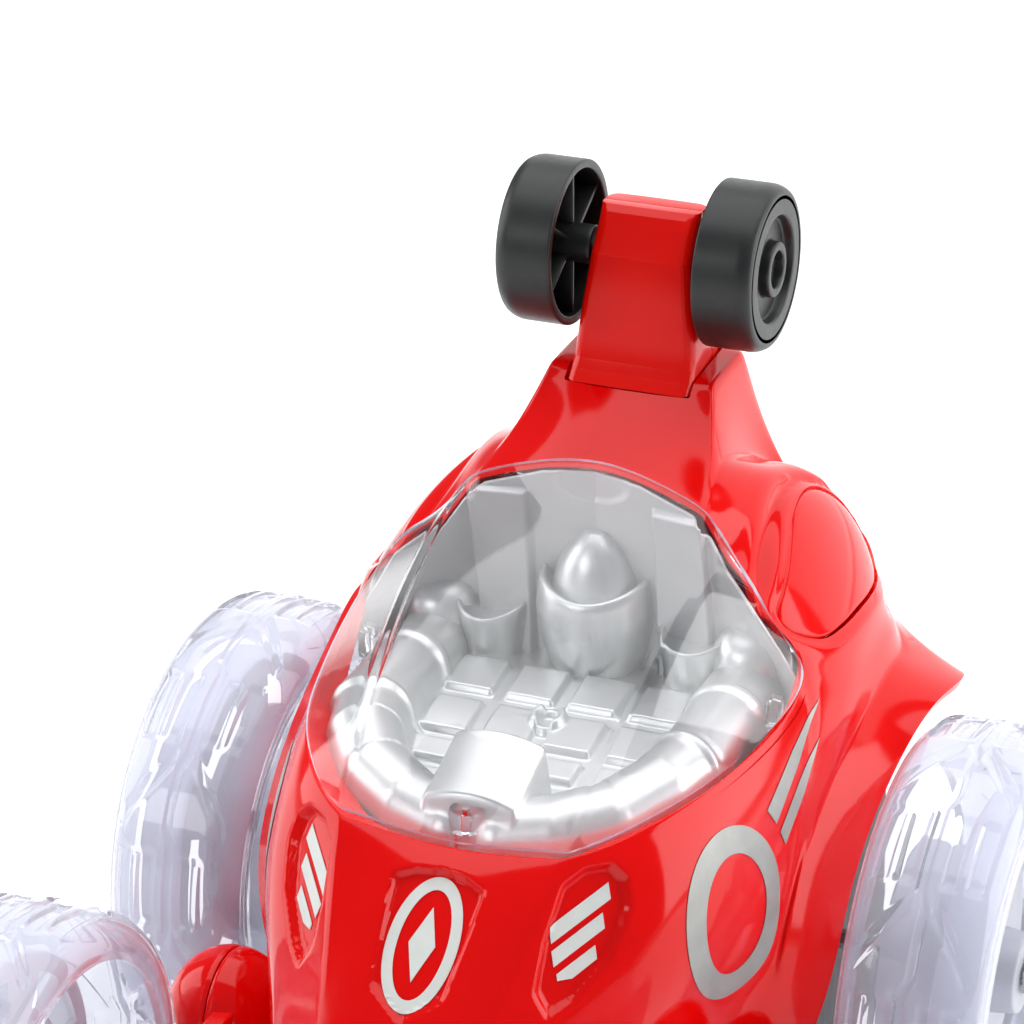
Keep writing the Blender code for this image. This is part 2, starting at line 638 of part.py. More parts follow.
def electrics():
    block("battery_pack", (-21, -114, 23), (21, -76, 38), "battery_wrap", 3.0)
    door = block("battery_door", (-DOOR_HALF + FIT, DOOR_FRONT + FIT, TUB_Z),
                 (DOOR_HALF - FIT, DOOR_BACK - FIT, TUB_Z + TUB_T), "black_satin")
    door.data.transform(Matrix.Translation(door.location - at(0, DOOR_FRONT + FIT, TUB_Z)))
    door.location = at(0, DOOR_FRONT + FIT, TUB_Z)
    block("circuit_board", (-25, -38, 34), (25, 36, 35.6), "board_green")
    knob = block("power_switch", (-6.5, SWITCH_Y - 2.6, 18.4), (3.5, SWITCH_Y + 2.6, 24.4), "black_satin")
    bevel(knob, 0.8)


def wheel_lights():
    for word, side in SIDES:
        board = block(f"wheel_light_{word}", (side * 57.4, -27, 74), (side * 58.8, -11, 90), "board_green")
        lamp = rod(f"lamp_{word}", 2.5, side * 58, side * 64, -19, 82, None, 12)
        boolean(board, as_cutter(lamp), "UNION")


def chassis_screws():
    """Self-tapping screws, from below: a profile turned about an upright axis."""
    profile = ((0, 32.0), (1.5, 31.0), (1.5, 19.6), (3.0, 19.6), (3.0, 18.6), (2.2, 18.0), (0, 18.0))
    for k, (x, y) in enumerate(SCREWS):
        bm = bmesh.new()
        verts = [bm.verts.new((radius * MM, 0, z * MM)) for radius, z in profile]
        for first, second in zip(verts, verts[1:]):
            bm.edges.new((first, second))
        turn(part(f"chassis_screw_{k + 1}", bm, "steel", at(x, y, 0)), 12)


def label(name, faces_flat, centre, outward, up, thickness, finish_name, target, lift=0.9):
    """A thin plate laid on the shell. faces_flat are faces of (across, up) points in a flat
    drawing, which is dropped on the shell against the outward direction and then thickened."""
    outward = Vector(outward).normalized()
    across = Vector(up).cross(outward).normalized()
    upright = outward.cross(across)
    bm = bmesh.new()
    known = {}
    for face in faces_flat:
        for point in face:
            if point not in known:
                known[point] = bm.verts.new((point[0] * MM, point[1] * MM, 0))
        bm.faces.new([known[point] for point in face])
    obj = part(name, bm, finish_name, at(*centre) + outward * LABEL_DROP * MM)
    obj.rotation_mode = "QUATERNION"
    obj.rotation_quaternion = Matrix((across, upright, outward)).transposed().to_quaternion()
    wrap = obj.modifiers.new("wrap", "SHRINKWRAP")
    wrap.target = target
    wrap.wrap_method = "PROJECT"
    wrap.use_project_z = True
    wrap.use_negative_direction = True
    wrap.use_positive_direction = False
    wrap.offset = lift * MM
    thicken(obj, thickness, 1.0)
    return obj


def strip_faces(lefts, rights, across=3):
    """Quads between two edges of a shape, both running upwards, in counter-clockwise order."""
    rows = []
    for (x0, y0), (x1, y1) in zip(lefts, rights):
        rows.append([(x0 + (x1 - x0) * k / across, y0 + (y1 - y0) * k / across)
                     for k in range(across + 1)])
    faces = []
    for low, high in zip(rows, rows[1:]):
        for k in range(across):
            faces.append((low[k], low[k + 1], high[k + 1], high[k]))
    return faces


def hood_emblem(shell):
    """A plain shield on the hood's middle panel."""
    rights = [(max(0.8, 10 * math.sqrt(1 - ((15 - v) / 31) ** 2 if v < 15 else 1)), v)
              for v in (-15, -11, -4, 4, 11, 15)]
    lefts = [(-x, v) for x, v in rights]
    label("hood_emblem", strip_faces(lefts, rights, 4), EMBLEM_CENTRE, (0, -0.71, 0.70), (0, 0, 1),
          0.6, "print_white", shell)


def wing_badges(shell):
    """A swept feather shape in each hood scoop."""
    for word, side in SIDES:
        lefts = [(-5, -10), (-6, -4), (-5, 3), (-2, 9)]
        rights = [(2, -10), (5, -4), (7, 3), (8, 9)]
        if side < 0:
            lefts, rights = [(-x, v) for x, v in rights], [(-x, v) for x, v in lefts]
        x, y, z = BADGE_CENTRE
        label(f"wing_badge_{word}", strip_faces(lefts, rights, 2), (side * x, y, z),
              (side * 0.35, -0.62, 0.70), (0, 0, 1), 0.5, "print_white", shell)


def side_decals(shell):
    """A drop-shaped ring with a swept tail on each flank."""
    count = 18
    for word, side in SIDES:
        outer, inner = [], []
        for k in range(count):
            angle = math.tau * k / count
            taper = 1 - 0.22 * math.sin(angle)
            for edge, half_wide, half_high in ((outer, 15, 22), (inner, 9.5, 15)):
                across = side * half_wide * math.cos(angle) * (2 - taper)
                edge.append((across, half_high * math.sin(angle)))
        faces = []
        for k in range(count):
            following = (k + 1) % count
            faces.append((outer[k], outer[following], inner[following], inner[k]))
        first, second = outer[1], outer[2]
        for step in range(3):
            third = (second[0] + side * 8, second[1] + 6)
            fourth = (first[0] + side * 7, first[1] + 6.5)
            faces.append((first, fourth, third, second))
            first, second = fourth, third
        if side < 0:
            faces = [tuple(reversed(face)) for face in faces]
        x, y, z = DECAL_CENTRE
        label(f"side_decal_{word}", faces, (side * x, y, z), (side, -0.28, 0.15), (0, 0.35, 1), 0.4,
              "print_grey", shell, 1.3)


def main():
    clear_scene()
    shell = body_shell()
    chassis_tub()
    cockpit_tray()
    canopy()
    for word, side in SIDES:
        pod(f"shoulder_pod_{word}", side, 0.0, "red_shell")
    arm_half("arm_front", True)
    arm_half("arm_rear", False)
    tail_wheels()
    rear_wheels()
    front_wheels()
    swing_arms()
    gearboxes()
    electrics()
    wheel_lights()
    chassis_screws()
    hood_emblem(shell)
    wing_badges(shell)
    side_decals(shell)


main()
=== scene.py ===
"""Looks for the radio-controlled stunt car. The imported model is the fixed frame. The nodes of its
outside are replaced by detailed pieces. The mechanism, the chassis tub and the small fittings keep
their shape and get detailed materials.

Lengths are millimetres until at() or MM turns them into metres. Heights are above the floor.
Fore-and-aft stations (y) are measured from the rear axle, positive to the rear. The car faces -Y,
so +X is its left side.
"""

import math

import bmesh
import bpy
import numpy as np
from mathutils import Matrix, Vector


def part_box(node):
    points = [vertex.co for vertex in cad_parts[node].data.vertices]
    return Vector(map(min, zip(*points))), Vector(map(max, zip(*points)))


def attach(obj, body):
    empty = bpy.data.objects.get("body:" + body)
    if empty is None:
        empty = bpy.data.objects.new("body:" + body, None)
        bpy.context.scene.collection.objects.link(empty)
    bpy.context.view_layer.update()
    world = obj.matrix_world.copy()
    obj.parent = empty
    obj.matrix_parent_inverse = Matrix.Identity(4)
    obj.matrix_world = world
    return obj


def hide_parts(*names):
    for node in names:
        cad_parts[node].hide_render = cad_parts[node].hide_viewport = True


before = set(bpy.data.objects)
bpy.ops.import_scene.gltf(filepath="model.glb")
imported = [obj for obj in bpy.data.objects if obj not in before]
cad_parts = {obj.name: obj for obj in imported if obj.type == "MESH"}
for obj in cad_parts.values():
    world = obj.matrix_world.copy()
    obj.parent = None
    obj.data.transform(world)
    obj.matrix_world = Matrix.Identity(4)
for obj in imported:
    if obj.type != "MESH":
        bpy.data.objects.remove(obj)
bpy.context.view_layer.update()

MM = 0.001
SIDES = (("left", 1), ("right", -1))


def node_box(name):
    """Middle and size of a CAD node's box, in millimetres."""
    low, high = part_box(name)
    return (low + high) / 2 / MM, (high - low) / MM


REAR_MIDDLE, REAR_SIZE = node_box("rear_wheel_shell_left")
FRONT_MIDDLE, FRONT_SIZE = node_box("front_wheel_shell_left")
TAIL_MIDDLE, TAIL_SIZE = node_box("arm_wheel_left")
BALL_MIDDLE, BALL_SIZE = node_box("swing_arm_cap_left")
AXLE_Y = REAR_MIDDLE.y
BALL_Y = BALL_MIDDLE.y - AXLE_Y
TAIL_AXLE_Y = TAIL_MIDDLE.y - AXLE_Y
FRONT_R = FRONT_SIZE.z / 2
TAIL_R = TAIL_SIZE.z / 2

# Half of the moulded shell: one column for each point of the cockpit rim, from the front centre
# round the side to the rear centre. Rows run from the rim outwards and down to the lower edge.
SHELL = (
    ((0, -93.5, 117), (0, -98, 115), (0, -110, 104.5), (0, -124, 90), (0, -138, 72),
     (0, -146, 50), (0, -140, 27)),
    ((13, -94, 118.2), (13, -98.2, 115.3), (12, -110, 104.3), (11, -124, 90), (10, -137.5, 72),
     (11, -145.5, 50), (12, -139.5, 27)),
    ((26, -93.5, 119.8), (25.6, -97, 117), (22.6, -109, 103.3), (19, -122, 88), (17.5, -136, 71),
     (19, -143.5, 50), (22, -137.5, 27)),
    ((33, -89, 121.5), (33, -93, 117), (33.5, -101, 101), (32.5, -111, 85), (26.5, -129, 69),
     (28, -136, 50), (31, -131, 26)),
    ((41, -79, 124.2), (43.5, -83, 119), (47, -88.5, 105), (45.0, -97, 88), (37, -110, 69),
     (37.5, -117, 48), (40.5, -114, 26)),
    ((47.6, -66, 126), (50, -68, 121), (54, -73, 106), (54.5, -76, 88), (46.5, -84, 69),
     (45.5, -89, 46), (47.5, -89, 24)),
    ((51.4, -50, 127), (53.8, -52, 122), (58.5, -56, 107), (59.5, -60, 89), (52.5, -65, 69),
     (49.0, -67, 48), (50.5, -66, 24)),
    ((54.5, -34, 129), (57, -37, 123), (60, -46, 106), (60, -55, 88), (58.5, -60, 70),
     (54, -59, 48), (52.5, -57, 24)),
    ((55.5, -18.4, 133.2), (57.5, -21, 129), (60.5, -33, 113), (61.3, -47, 95), (61.7, -57, 75),
     (66.5, -53.5, 70), (71.6, -49.5, 64)),
    ((49.7, -19, 142.4), (54.5, -16, 139), (60, -20, 127), (62, -32, 111), (62.5, -47, 95.5),
     (67, -43.5, 91), (71.8, -39.5, 87)),
    ((44.8, -21, 151), (48, -14, 149), (57, -6, 139), (62, -12, 124), (63, -25, 112),
     (67.5, -23, 107), (72, -21, 102.8)),
    ((39.4, -17.5, 154.8), (42.5, -10, 153.5), (52, 6, 148), (60.5, 8, 135), (63.5, 5, 119),
     (68, 5, 116), (73.4, 6, 112.6)),
    ((34.8, -14.6, 158), (37.5, -7, 160), (42, 12, 162), (54, 26, 148), (63.5, 24, 122),
     (69, 24, 118.5), (75.8, 22, 115.8)),
    ((29.6, -13, 165.5), (32.5, -1, 169.0), (38.5, 26, 166.0), (54.5, 37, 144), (60.8, 41, 117.5),
     (66.5, 42.5, 114.2), (78, 41.5, 112)),
    ((28, -12.4, 167.6), (25.6, 2.5, 173.8), (25.4, 16, 169.6), (24.2, 37, 162.0), (33, 50, 143),
     (50, 51.5, 120), (64, 50, 108)),
    ((26.8, -12.2, 168.4), (23.9, 4.0, 175.2), (20, 13.3, 187.6), (20.2, 34.5, 188.4), (22.5, 44, 163),
     (30, 53, 134), (42, 54.5, 107)),
    ((12, -10.5, 173), (11.5, 0.5, 179), (10.5, 13.6, 187.3), (11, 36.5, 189.5), (17, 49, 163),
     (22, 53.5, 134), (27, 55.5, 106)),
    ((0, -8, 173.5), (0, 1, 179.2), (0, 13.7, 187.5), (0, 37, 189.5), (0, 50, 164),
     (0, 54.5, 134), (0, 56.5, 105)),
)
PANEL_COLUMN, FOOT_COLUMN, PYLON_COLUMN = 2, 14, 15
FLARE_ROW = 4
SHELL_T = 2.0
SHELL_LEVELS = 4
PIN_HOLE_R = 3.0
LEDGE_IN, LEDGE_DROP = 9.0, 5.5     # red ledge under the canopy's edge

# Tail arm: (height, front y, back y, half width), from the foot in the socket to the top
ARM = (
    (170, 18.5, 31, 12.5), (183.6, 18.5, 31, 12.5), (184.7, 9.9, 33, 15.2), (187.2, 12.4, 33.2, 15.2),
    (189.4, 13.7, 33.4, 14.9), (194, 14.6, 33.5, 14.6),
    (204.6, 15.6, 34.2, 13.4), (213.8, 17.3, 34.5, 12.3), (219.6, 20.8, 34, 12),
    (222.6, 22.8, 33, 12), (224, 24.4, 31.8, 12),
)
ARM_SPLIT = 27.2
ARM_GAP = 0.24
ARM_T = 1.5
SOCKET_HALF = 15.5

BAR_HALF = 5.8                      # half height of the swing arms' bars

# Shoulder pod: a flat egg. Its axes point across, along and away from the shoulder.
POD_CENTRE = Vector((46.5, 9.0, 138.5))
POD_RADII = (25.0, 35.6, 9.3)
POD_ACROSS = Vector((0.46, 0.24, -0.85)).normalized()
POD_OUT = Vector((0.88, 0.0, 0.47)).normalized()
POD_EDGE = (                        # its edge, across and along
    (-14.4, -23.6), (-10.5, -25.2), (-5.5, -22.9), (-0.3, -17.5), (3.5, -8.0), (6.8, 3.0), (9.8, 13.0),
    (12.0, 23.0), (10.6, 30.0), (5.0, 33.0), (-3.0, 33.4), (-10, 30.5), (-16.0, 24.5), (-19.4, 16.0),
    (-20.4, 6.0), (-19.4, -3.0), (-17.6, -11.0), (-15.8, -18.5))

# Canopy folds, at the front edge, the rear edge, and how far they rise between
FOLD_FRONT = Vector((26.4, -92.6, 120.6))
FOLD_REAR = Vector((32.2, -13.6, 161.6))
FOLD_RISE = 6.0

# Cockpit tray
FLOOR_FRONT = (-88.0, 110.5)        # y, z
FLOOR_REAR = (-20.0, 123.0)
WALL_Y = -6.6
TUBE = ((38.0, -4, 123.5), (38.6, -30, 123.2), (38.4, -48, 122.6), (35.2, -60, 121),
        (28, -70.5, 117.8), (17, -76.5, 115.2), (6, -79, 113.4))
TUBE_R = 8.7
TRAY_T = 0.8


def at(x, y, z):
    return Vector((x, y + AXLE_Y, z)) * MM


# ---------------------------------------------------------------- materials

def new_material(name):
    material = bpy.data.materials.new(name)
    material.use_nodes = True
    nodes, links = material.node_tree.nodes, material.node_tree.links
    shader = nodes["Principled BSDF"]
    return material, nodes, links, shader


def object_noise(nodes, links, scale, detail, roughness=0.55, stretch=(1, 1, 1)):
    """Noise in the object's own metres; scale is the number of features in a metre."""
    place = nodes.new("ShaderNodeTexCoord")
    mapping = nodes.new("ShaderNodeMapping")
    mapping.inputs["Scale"].default_value = stretch
    noise = nodes.new("ShaderNodeTexNoise")
    noise.inputs["Scale"].default_value = scale
    noise.inputs["Detail"].default_value = detail
    noise.inputs["Roughness"].default_value = roughness
    links.new(place.outputs["Object"], mapping.inputs["Vector"])
    links.new(mapping.outputs["Vector"], noise.inputs["Vector"])
    return noise.outputs["Fac"]


def remap(nodes, links, value, from_low, from_high, to_low, to_high):
    node = nodes.new("ShaderNodeMapRange")
    node.inputs["From Min"].default_value = from_low
    node.inputs["From Max"].default_value = from_high
    node.inputs["To Min"].default_value = to_low
    node.inputs["To Max"].default_value = to_high
    links.new(value, node.inputs["Value"])
    return node.outputs["Result"]


def mix_colours(nodes, links, factor, first, second):
    node = nodes.new("ShaderNodeMix")
    node.data_type = "RGBA"
    node.inputs["A"].default_value = (*first, 1)
    node.inputs["B"].default_value = (*second, 1)
    links.new(factor, node.inputs["Factor"])
    return node.outputs["Result"]


def bump(nodes, links, shader, layers):
    """Stacks (height, strength, depth in mm) layers into the shader's normal."""
    previous = None
    for height, strength, depth in layers:
        node = nodes.new("ShaderNodeBump")
        node.inputs["Strength"].default_value = strength
        node.inputs["Distance"].default_value = depth * MM
        links.new(height, node.inputs["Height"])
        if previous is not None:
            links.new(previous, node.inputs["Normal"])
        previous = node.outputs["Normal"]
    links.new(previous, shader.inputs["Normal"])


def plastic(name, light, dark, rough_low, rough_high, patch=60, grain=1800, grain_depth=0.01,
            ior=1.5, metallic=0.0):
    """Moulded plastic: faint colour drift, uneven gloss, flow marks and a fine surface grain."""
    material, nodes, links, shader = new_material(name)
    drift = object_noise(nodes, links, patch, 3.0)
    smears = object_noise(nodes, links, patch * 7, 5.0, 0.7, (1, 1, 0.35))
    fine = object_noise(nodes, links, grain, 2.0)
    colour = mix_colours(nodes, links, remap(nodes, links, drift, 0.3, 0.7, 0, 1), light, dark)
    links.new(colour, shader.inputs["Base Color"])
    gloss = remap(nodes, links, smears, 0.3, 0.75, rough_low, rough_high)
    links.new(gloss, shader.inputs["Roughness"])
    bump(nodes, links, shader, ((drift, 0.15, 0.05), (fine, 0.25, grain_depth)))
    shader.inputs["IOR"].default_value = ior
    shader.inputs["Metallic"].default_value = metallic
    return material


def clear_plastic(name, tint, rough_low, rough_high, pass_light, ior=1.47, coat=0.0, clarity=1.0):
    """Clear moulded plastic with flow ripples. Lamps shine through it, a little dimmed."""
    material, nodes, links, shader = new_material(name)
    ripples = object_noise(nodes, links, 90, 3.0, 0.5, (1, 1, 0.4))
    dust = object_noise(nodes, links, 1400, 2.0)
    shader.inputs["Base Color"].default_value = (*tint, 1)
    shader.inputs["Transmission Weight"].default_value = clarity
    shader.inputs["IOR"].default_value = ior
    shader.inputs["Coat Weight"].default_value = coat
    shader.inputs["Coat Roughness"].default_value = 0.03
    links.new(remap(nodes, links, dust, 0.45, 0.8, rough_low, rough_high), shader.inputs["Roughness"])
    bump(nodes, links, shader, ((ripples, 0.25, 0.12),))
    path = nodes.new("ShaderNodeLightPath")
    through = nodes.new("ShaderNodeBsdfTransparent")
    through.inputs["Color"].default_value = (*pass_light, 1)
    mix = nodes.new("ShaderNodeMixShader")
    links.new(path.outputs["Is Shadow Ray"], mix.inputs["Fac"])
    links.new(shader.outputs["BSDF"], mix.inputs[1])
    links.new(through.outputs["BSDF"], mix.inputs[2])
    links.new(mix.outputs["Shader"], nodes["Material Output"].inputs["Surface"])
    return material


def frosted_plastic(name, tint, rough_low, rough_high, transmission):
    """Milky moulded plastic with a cloudy tint and a satin grain."""
    material, nodes, links, shader = new_material(name)
    cloud = object_noise(nodes, links, 120, 4.0)
    grain = object_noise(nodes, links, 2200, 2.0)
    deeper = tuple(channel * 0.94 for channel in tint)
    colour = mix_colours(nodes, links, remap(nodes, links, cloud, 0.3, 0.7, 0, 1), tint, deeper)
    links.new(colour, shader.inputs["Base Color"])
    links.new(remap(nodes, links, cloud, 0.3, 0.7, rough_low, rough_high), shader.inputs["Roughness"])
    shader.inputs["Transmission Weight"].default_value = transmission
    shader.inputs["IOR"].default_value = 1.4
    bump(nodes, links, shader, ((grain, 0.3, 0.012),))
    return material


def brushed_metal(name, colour, low, high):
    """Turned metal with fine streaks round the shafts, which all lie along X."""
    material, nodes, links, shader = new_material(name)
    streaks = object_noise(nodes, links, 300, 3.0, 0.6, (1, 30, 30))
    darker = tuple(channel * 0.8 for channel in colour)
    tone = mix_colours(nodes, links, remap(nodes, links, streaks, 0.3, 0.7, 0, 1), colour, darker)
    links.new(tone, shader.inputs["Base Color"])
    links.new(remap(nodes, links, streaks, 0.3, 0.7, low, high), shader.inputs["Roughness"])
    bump(nodes, links, shader, ((streaks, 0.2, 0.01),))
    shader.inputs["Metallic"].default_value = 1.0
    return material


RED = plastic("red_shell", (0.80, 0.0015, 0.0012), (0.75, 0.0012, 0.0010), 0.07, 0.12, ior=1.38)
RED_ARM = plastic("red_arm", (0.86, 0.006, 0.002), (0.80, 0.004, 0.0015), 0.12, 0.19, ior=1.38)
CLEAR = clear_plastic("clear_canopy", (0.975, 0.972, 0.985), 0.0, 0.02, (0.93, 0.93, 0.95), ior=1.40)
CLEAR_EDGE = clear_plastic("clear_canopy_edge", (0.78, 0.74, 0.93), 0.10, 0.20, (0.80, 0.78, 0.92),
                           clarity=0.35)
WHEEL_CLEAR = clear_plastic("clear_wheel", (0.79, 0.805, 0.87), 0.05, 0.12, (0.90, 0.90, 0.94),
                            ior=1.13, coat=0.6, clarity=0.80)
FROSTED = frosted_plastic("frosted_hub", (0.80, 0.805, 0.88), 0.35, 0.5, 0.45)
BLACK = plastic("black_satin", (0.010, 0.011, 0.011), (0.016, 0.017, 0.017), 0.34, 0.44, 90, 1500, 0.02)
SILVER = plastic("silver_paint", (0.67, 0.685, 0.68), (0.62, 0.635, 0.63), 0.33, 0.43, 80, 2600, 0.0006,
                 metallic=0.8)
# The back wall's silver, darker and less metallic than SILVER: painted shade for the wall, which stands in
# the cockpit's shadow behind the seats
WALL_SHADED_SILVER = plastic("silver_painted_shade", (0.60, 0.605, 0.605), (0.55, 0.555, 0.555), 0.34, 0.44, 80, 2600, 0.0006,
                     metallic=0.35)
WHITE_INK = plastic("white_print", (0.74, 0.77, 0.73), (0.69, 0.72, 0.69), 0.35, 0.5, 200, 3000, 0.008)
GREY_INK = plastic("grey_print", (0.40, 0.40, 0.38), (0.35, 0.35, 0.33), 0.3, 0.45, 200, 3000, 0.008,
                   metallic=0.3)
TUB = plastic("chassis_black", (0.014, 0.014, 0.015), (0.022, 0.022, 0.023), 0.42, 0.55, 60, 1200, 0.03)
GEAR = plastic("gear_nylon", (0.74, 0.72, 0.64), (0.68, 0.66, 0.58), 0.42, 0.52, 150, 1500, 0.02)
WRAP = plastic("battery_wrap", (0.03, 0.09, 0.36), (0.02, 0.07, 0.30), 0.22, 0.34, 90, 900, 0.04)
BOARD = plastic("circuit_board", (0.01, 0.17, 0.06), (0.01, 0.13, 0.05), 0.34, 0.46, 260, 1800, 0.02)
STEEL = brushed_metal("steel", (0.60, 0.60, 0.61), 0.22, 0.36)


# ---------------------------------------------------------------- mesh helpers

def ramp(value, low, high):
    """Smooth step from 0 to 1."""
    t = np.clip((value - low) / (high - low), 0, 1)
    return t * t * (3 - 2 * t)


def smooth_max(first, second, blend):
    share = np.clip(0.5 + 0.5 * (first - second) / blend, 0, 1)
    return second * (1 - share) + first * share + blend * share * (1 - share)


def add_object(name, data):
    obj = bpy.data.objects.new(name, data)
    bpy.context.scene.collection.objects.link(obj)
    return obj


def piece(name, points, faces, material, body, stands_for=(), sharp=40):
    """A closed mesh in the row's frame, riding on a body. points are metres."""
    mesh = bpy.data.meshes.new(name)
    mesh.from_pydata([tuple(point) for point in points], [], faces)
    bm = bmesh.new()
    bm.from_mesh(mesh)
    bmesh.ops.remove_doubles(bm, verts=bm.verts, dist=1e-6)
    bmesh.ops.recalc_face_normals(bm, faces=bm.faces)
    bm.to_mesh(mesh)
    bm.free()
    return dress(add_object(name, mesh), material, body, stands_for, sharp)


def set_material(mesh, material):
    mesh.materials.clear()
    mesh.materials.append(material)


def dress(obj, material, body, stands_for=(), sharp=40, keep_materials=False):
    """Finishes a piece: its material, shading, body and the nodes that it stands for."""
    mesh = obj.data
    if not keep_materials:
        set_material(mesh, material)
    mesh.shade_smooth()
    if sharp is not None:
        mesh.set_sharp_from_angle(angle=math.radians(sharp))
    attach(obj, body)
    if stands_for:
        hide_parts(*stands_for)
    return obj


def sheet_faces(rows, columns, close_rows=False, close_columns=False):
    """Quads of a rows by columns grid of points, stored row after row."""
    faces = []
    for i in range(rows if close_rows else rows - 1):
        below = (i + 1) % rows
        for j in range(columns if close_columns else columns - 1):
            beside = (j + 1) % columns
            faces.append((i * columns + j, i * columns + beside,
                          below * columns + beside, below * columns + j))
    return faces


def freeze(obj):
    """Replaces an object's mesh by what its modifiers make of it."""
    bpy.context.view_layer.update()
    graph = bpy.context.evaluated_depsgraph_get()
    mesh = bpy.data.meshes.new_from_object(obj.evaluated_get(graph))
    old = obj.data
    obj.modifiers.clear()
    obj.data = mesh
    bpy.data.meshes.remove(old)


def raw_object(name, bm):
    """An object that isn't a finished piece yet."""
    mesh = bpy.data.meshes.new(name)
    bm.to_mesh(mesh)
    bm.free()
    return add_object(name, mesh)


def sheet_object(name, x, y, z):
    """An open sheet through grids of coordinates."""
    points = np.stack([x, y + AXLE_Y, z], -1).reshape(-1, 3) * MM
    mesh = bpy.data.meshes.new(name)
    mesh.from_pydata([tuple(point) for point in points], [], sheet_faces(*x.shape))
    return add_object(name, mesh)


def cage(columns, creases):
    """A sheet of quads with sharpened chains of edges: (chain of (column, row), strength)."""
    bm = bmesh.new()
    points = [[bm.verts.new(at(*point)) for point in column] for column in columns]
    for here, there in zip(points, points[1:]):
        for row in range(len(here) - 1):
            bm.faces.new((here[row], here[row + 1], there[row + 1], there[row]))
    layer = bm.edges.layers.float.new("crease_edge")
    for chain, strength in creases:
        for (c0, r0), (c1, r1) in zip(chain, chain[1:]):
            edge = bm.edges.get((points[c0][r0], points[c1][r1]))
            if edge is not None:
                edge[layer] = strength
    return bm


def mirror(obj):
    modifier = obj.modifiers.new("mirror", "MIRROR")
    modifier.use_axis = (True, False, False)
    modifier.use_clip = True
    modifier.merge_threshold = 0.0001


def subdivide(obj, levels):
    modifier = obj.modifiers.new("subdivision", "SUBSURF")
    modifier.levels = levels
    modifier.render_levels = levels


def thicken(obj, thickness, offset=-1.0, even=True):
    modifier = obj.modifiers.new("thickness", "SOLIDIFY")
    modifier.thickness = thickness * MM
    modifier.offset = offset
    modifier.use_even_offset = even
    modifier.use_quality_normals = True


def round_edges(obj, width, segments, angle=35):
    modifier = obj.modifiers.new("round", "BEVEL")
    modifier.width = width * MM
    modifier.segments = segments
    modifier.limit_method = "ANGLE"
    modifier.angle_limit = math.radians(angle)


def cut(obj, cutters):
    for cutter in cutters:
        modifier = obj.modifiers.new("cut", "BOOLEAN")
        modifier.operation = "DIFFERENCE"
        modifier.solver = "EXACT"
        modifier.object = cutter
    freeze(obj)
    for cutter in cutters:
        bpy.data.objects.remove(cutter, do_unlink=True)


def clip_sheet(obj, distances):
    """Cuts openings in a sheet where any of the distance functions is negative."""
    for distance in distances:
        bm = bmesh.new()
        bm.from_mesh(obj.data)
        bm.verts.ensure_lookup_table()

        def measure(points):
            return distance(car_mm(np.array([tuple(point) for point in points])))

        values = list(measure([vert.co for vert in bm.verts]))
        bm.verts.index_update()
        crossing = [edge for edge in bm.edges
                    if (values[edge.verts[0].index] < 0) != (values[edge.verts[1].index] < 0)]
        if not crossing:
            bm.free()
            continue
        first = np.array([tuple(edge.verts[0].co) for edge in crossing])
        second = np.array([tuple(edge.verts[1].co) for edge in crossing])
        low, high = np.zeros(len(crossing)), np.ones(len(crossing))
        start = np.array([values[edge.verts[0].index] < 0 for edge in crossing])
        for _ in range(14):
            middle = (low + high) / 2
            below = measure(first + (second - first) * middle[:, None]) < 0
            same = below == start
            low, high = np.where(same, middle, low), np.where(same, high, middle)
        shares = (low + high) / 2
        places = first + (second - first) * shares[:, None]
        on_line = set()
        for edge, share, place in zip(crossing, shares, places):
            for vert, near in zip(edge.verts, (share < 0.2, share > 0.8)):
                if near and vert not in on_line:
                    vert.co = Vector(place)
                    on_line.add(vert)
        for edge, share in zip(crossing, shares):
            if edge.verts[0] in on_line or edge.verts[1] in on_line:
                continue
            _, vert = bmesh.utils.edge_split(edge, edge.verts[0], float(share))
            on_line.add(vert)
        for face in [face for face in bm.faces if any(vert in on_line for vert in face.verts)]:
            ends = [vert for vert in face.verts if vert in on_line]
            if len(ends) == 2 and not bm.edges.get(ends):
                bmesh.utils.face_split(face, ends[0], ends[1])
        middles = measure([face.calc_center_median() for face in bm.faces])
        gone = [face for face, value in zip(bm.faces, middles) if value < 0]
        bmesh.ops.delete(bm, geom=gone, context="FACES")
        bm.to_mesh(obj.data)
        bm.free()


def vertex_vectors(mesh, attribute):
    values = np.empty(len(mesh.vertices) * 3)
    mesh.vertices.foreach_get(attribute, values)
    return values.reshape(-1, 3)


def car_mm(points):
    """Row-frame metres to millimetres with y from the rear axle."""
    return points / MM - np.array((0, AXLE_Y, 0))


def outline_distance(points, outline):
    """Signed distance from 2-D points to a closed outline, negative inside."""
    ring = np.array(outline, float)
    following = np.roll(ring, -1, axis=0)
    best = np.full(len(points), 1e9)
    inside = np.zeros(len(points), bool)
    for (x0, y0), (x1, y1) in zip(ring, following):
        edge = np.array((x1 - x0, y1 - y0))
        rel = points - (x0, y0)
        share = np.clip(rel @ edge / (edge @ edge), 0, 1)
        away = rel - share[:, None] * edge
        best = np.minimum(best, np.hypot(away[:, 0], away[:, 1]))
        crosses = (y0 > points[:, 1]) != (y1 > points[:, 1])
        with np.errstate(divide="ignore", invalid="ignore"):
            at_x = (x1 - x0) * (points[:, 1] - y0) / (y1 - y0) + x0
        inside ^= crosses & (points[:, 0] < at_x)
    return np.where(inside, -best, best)


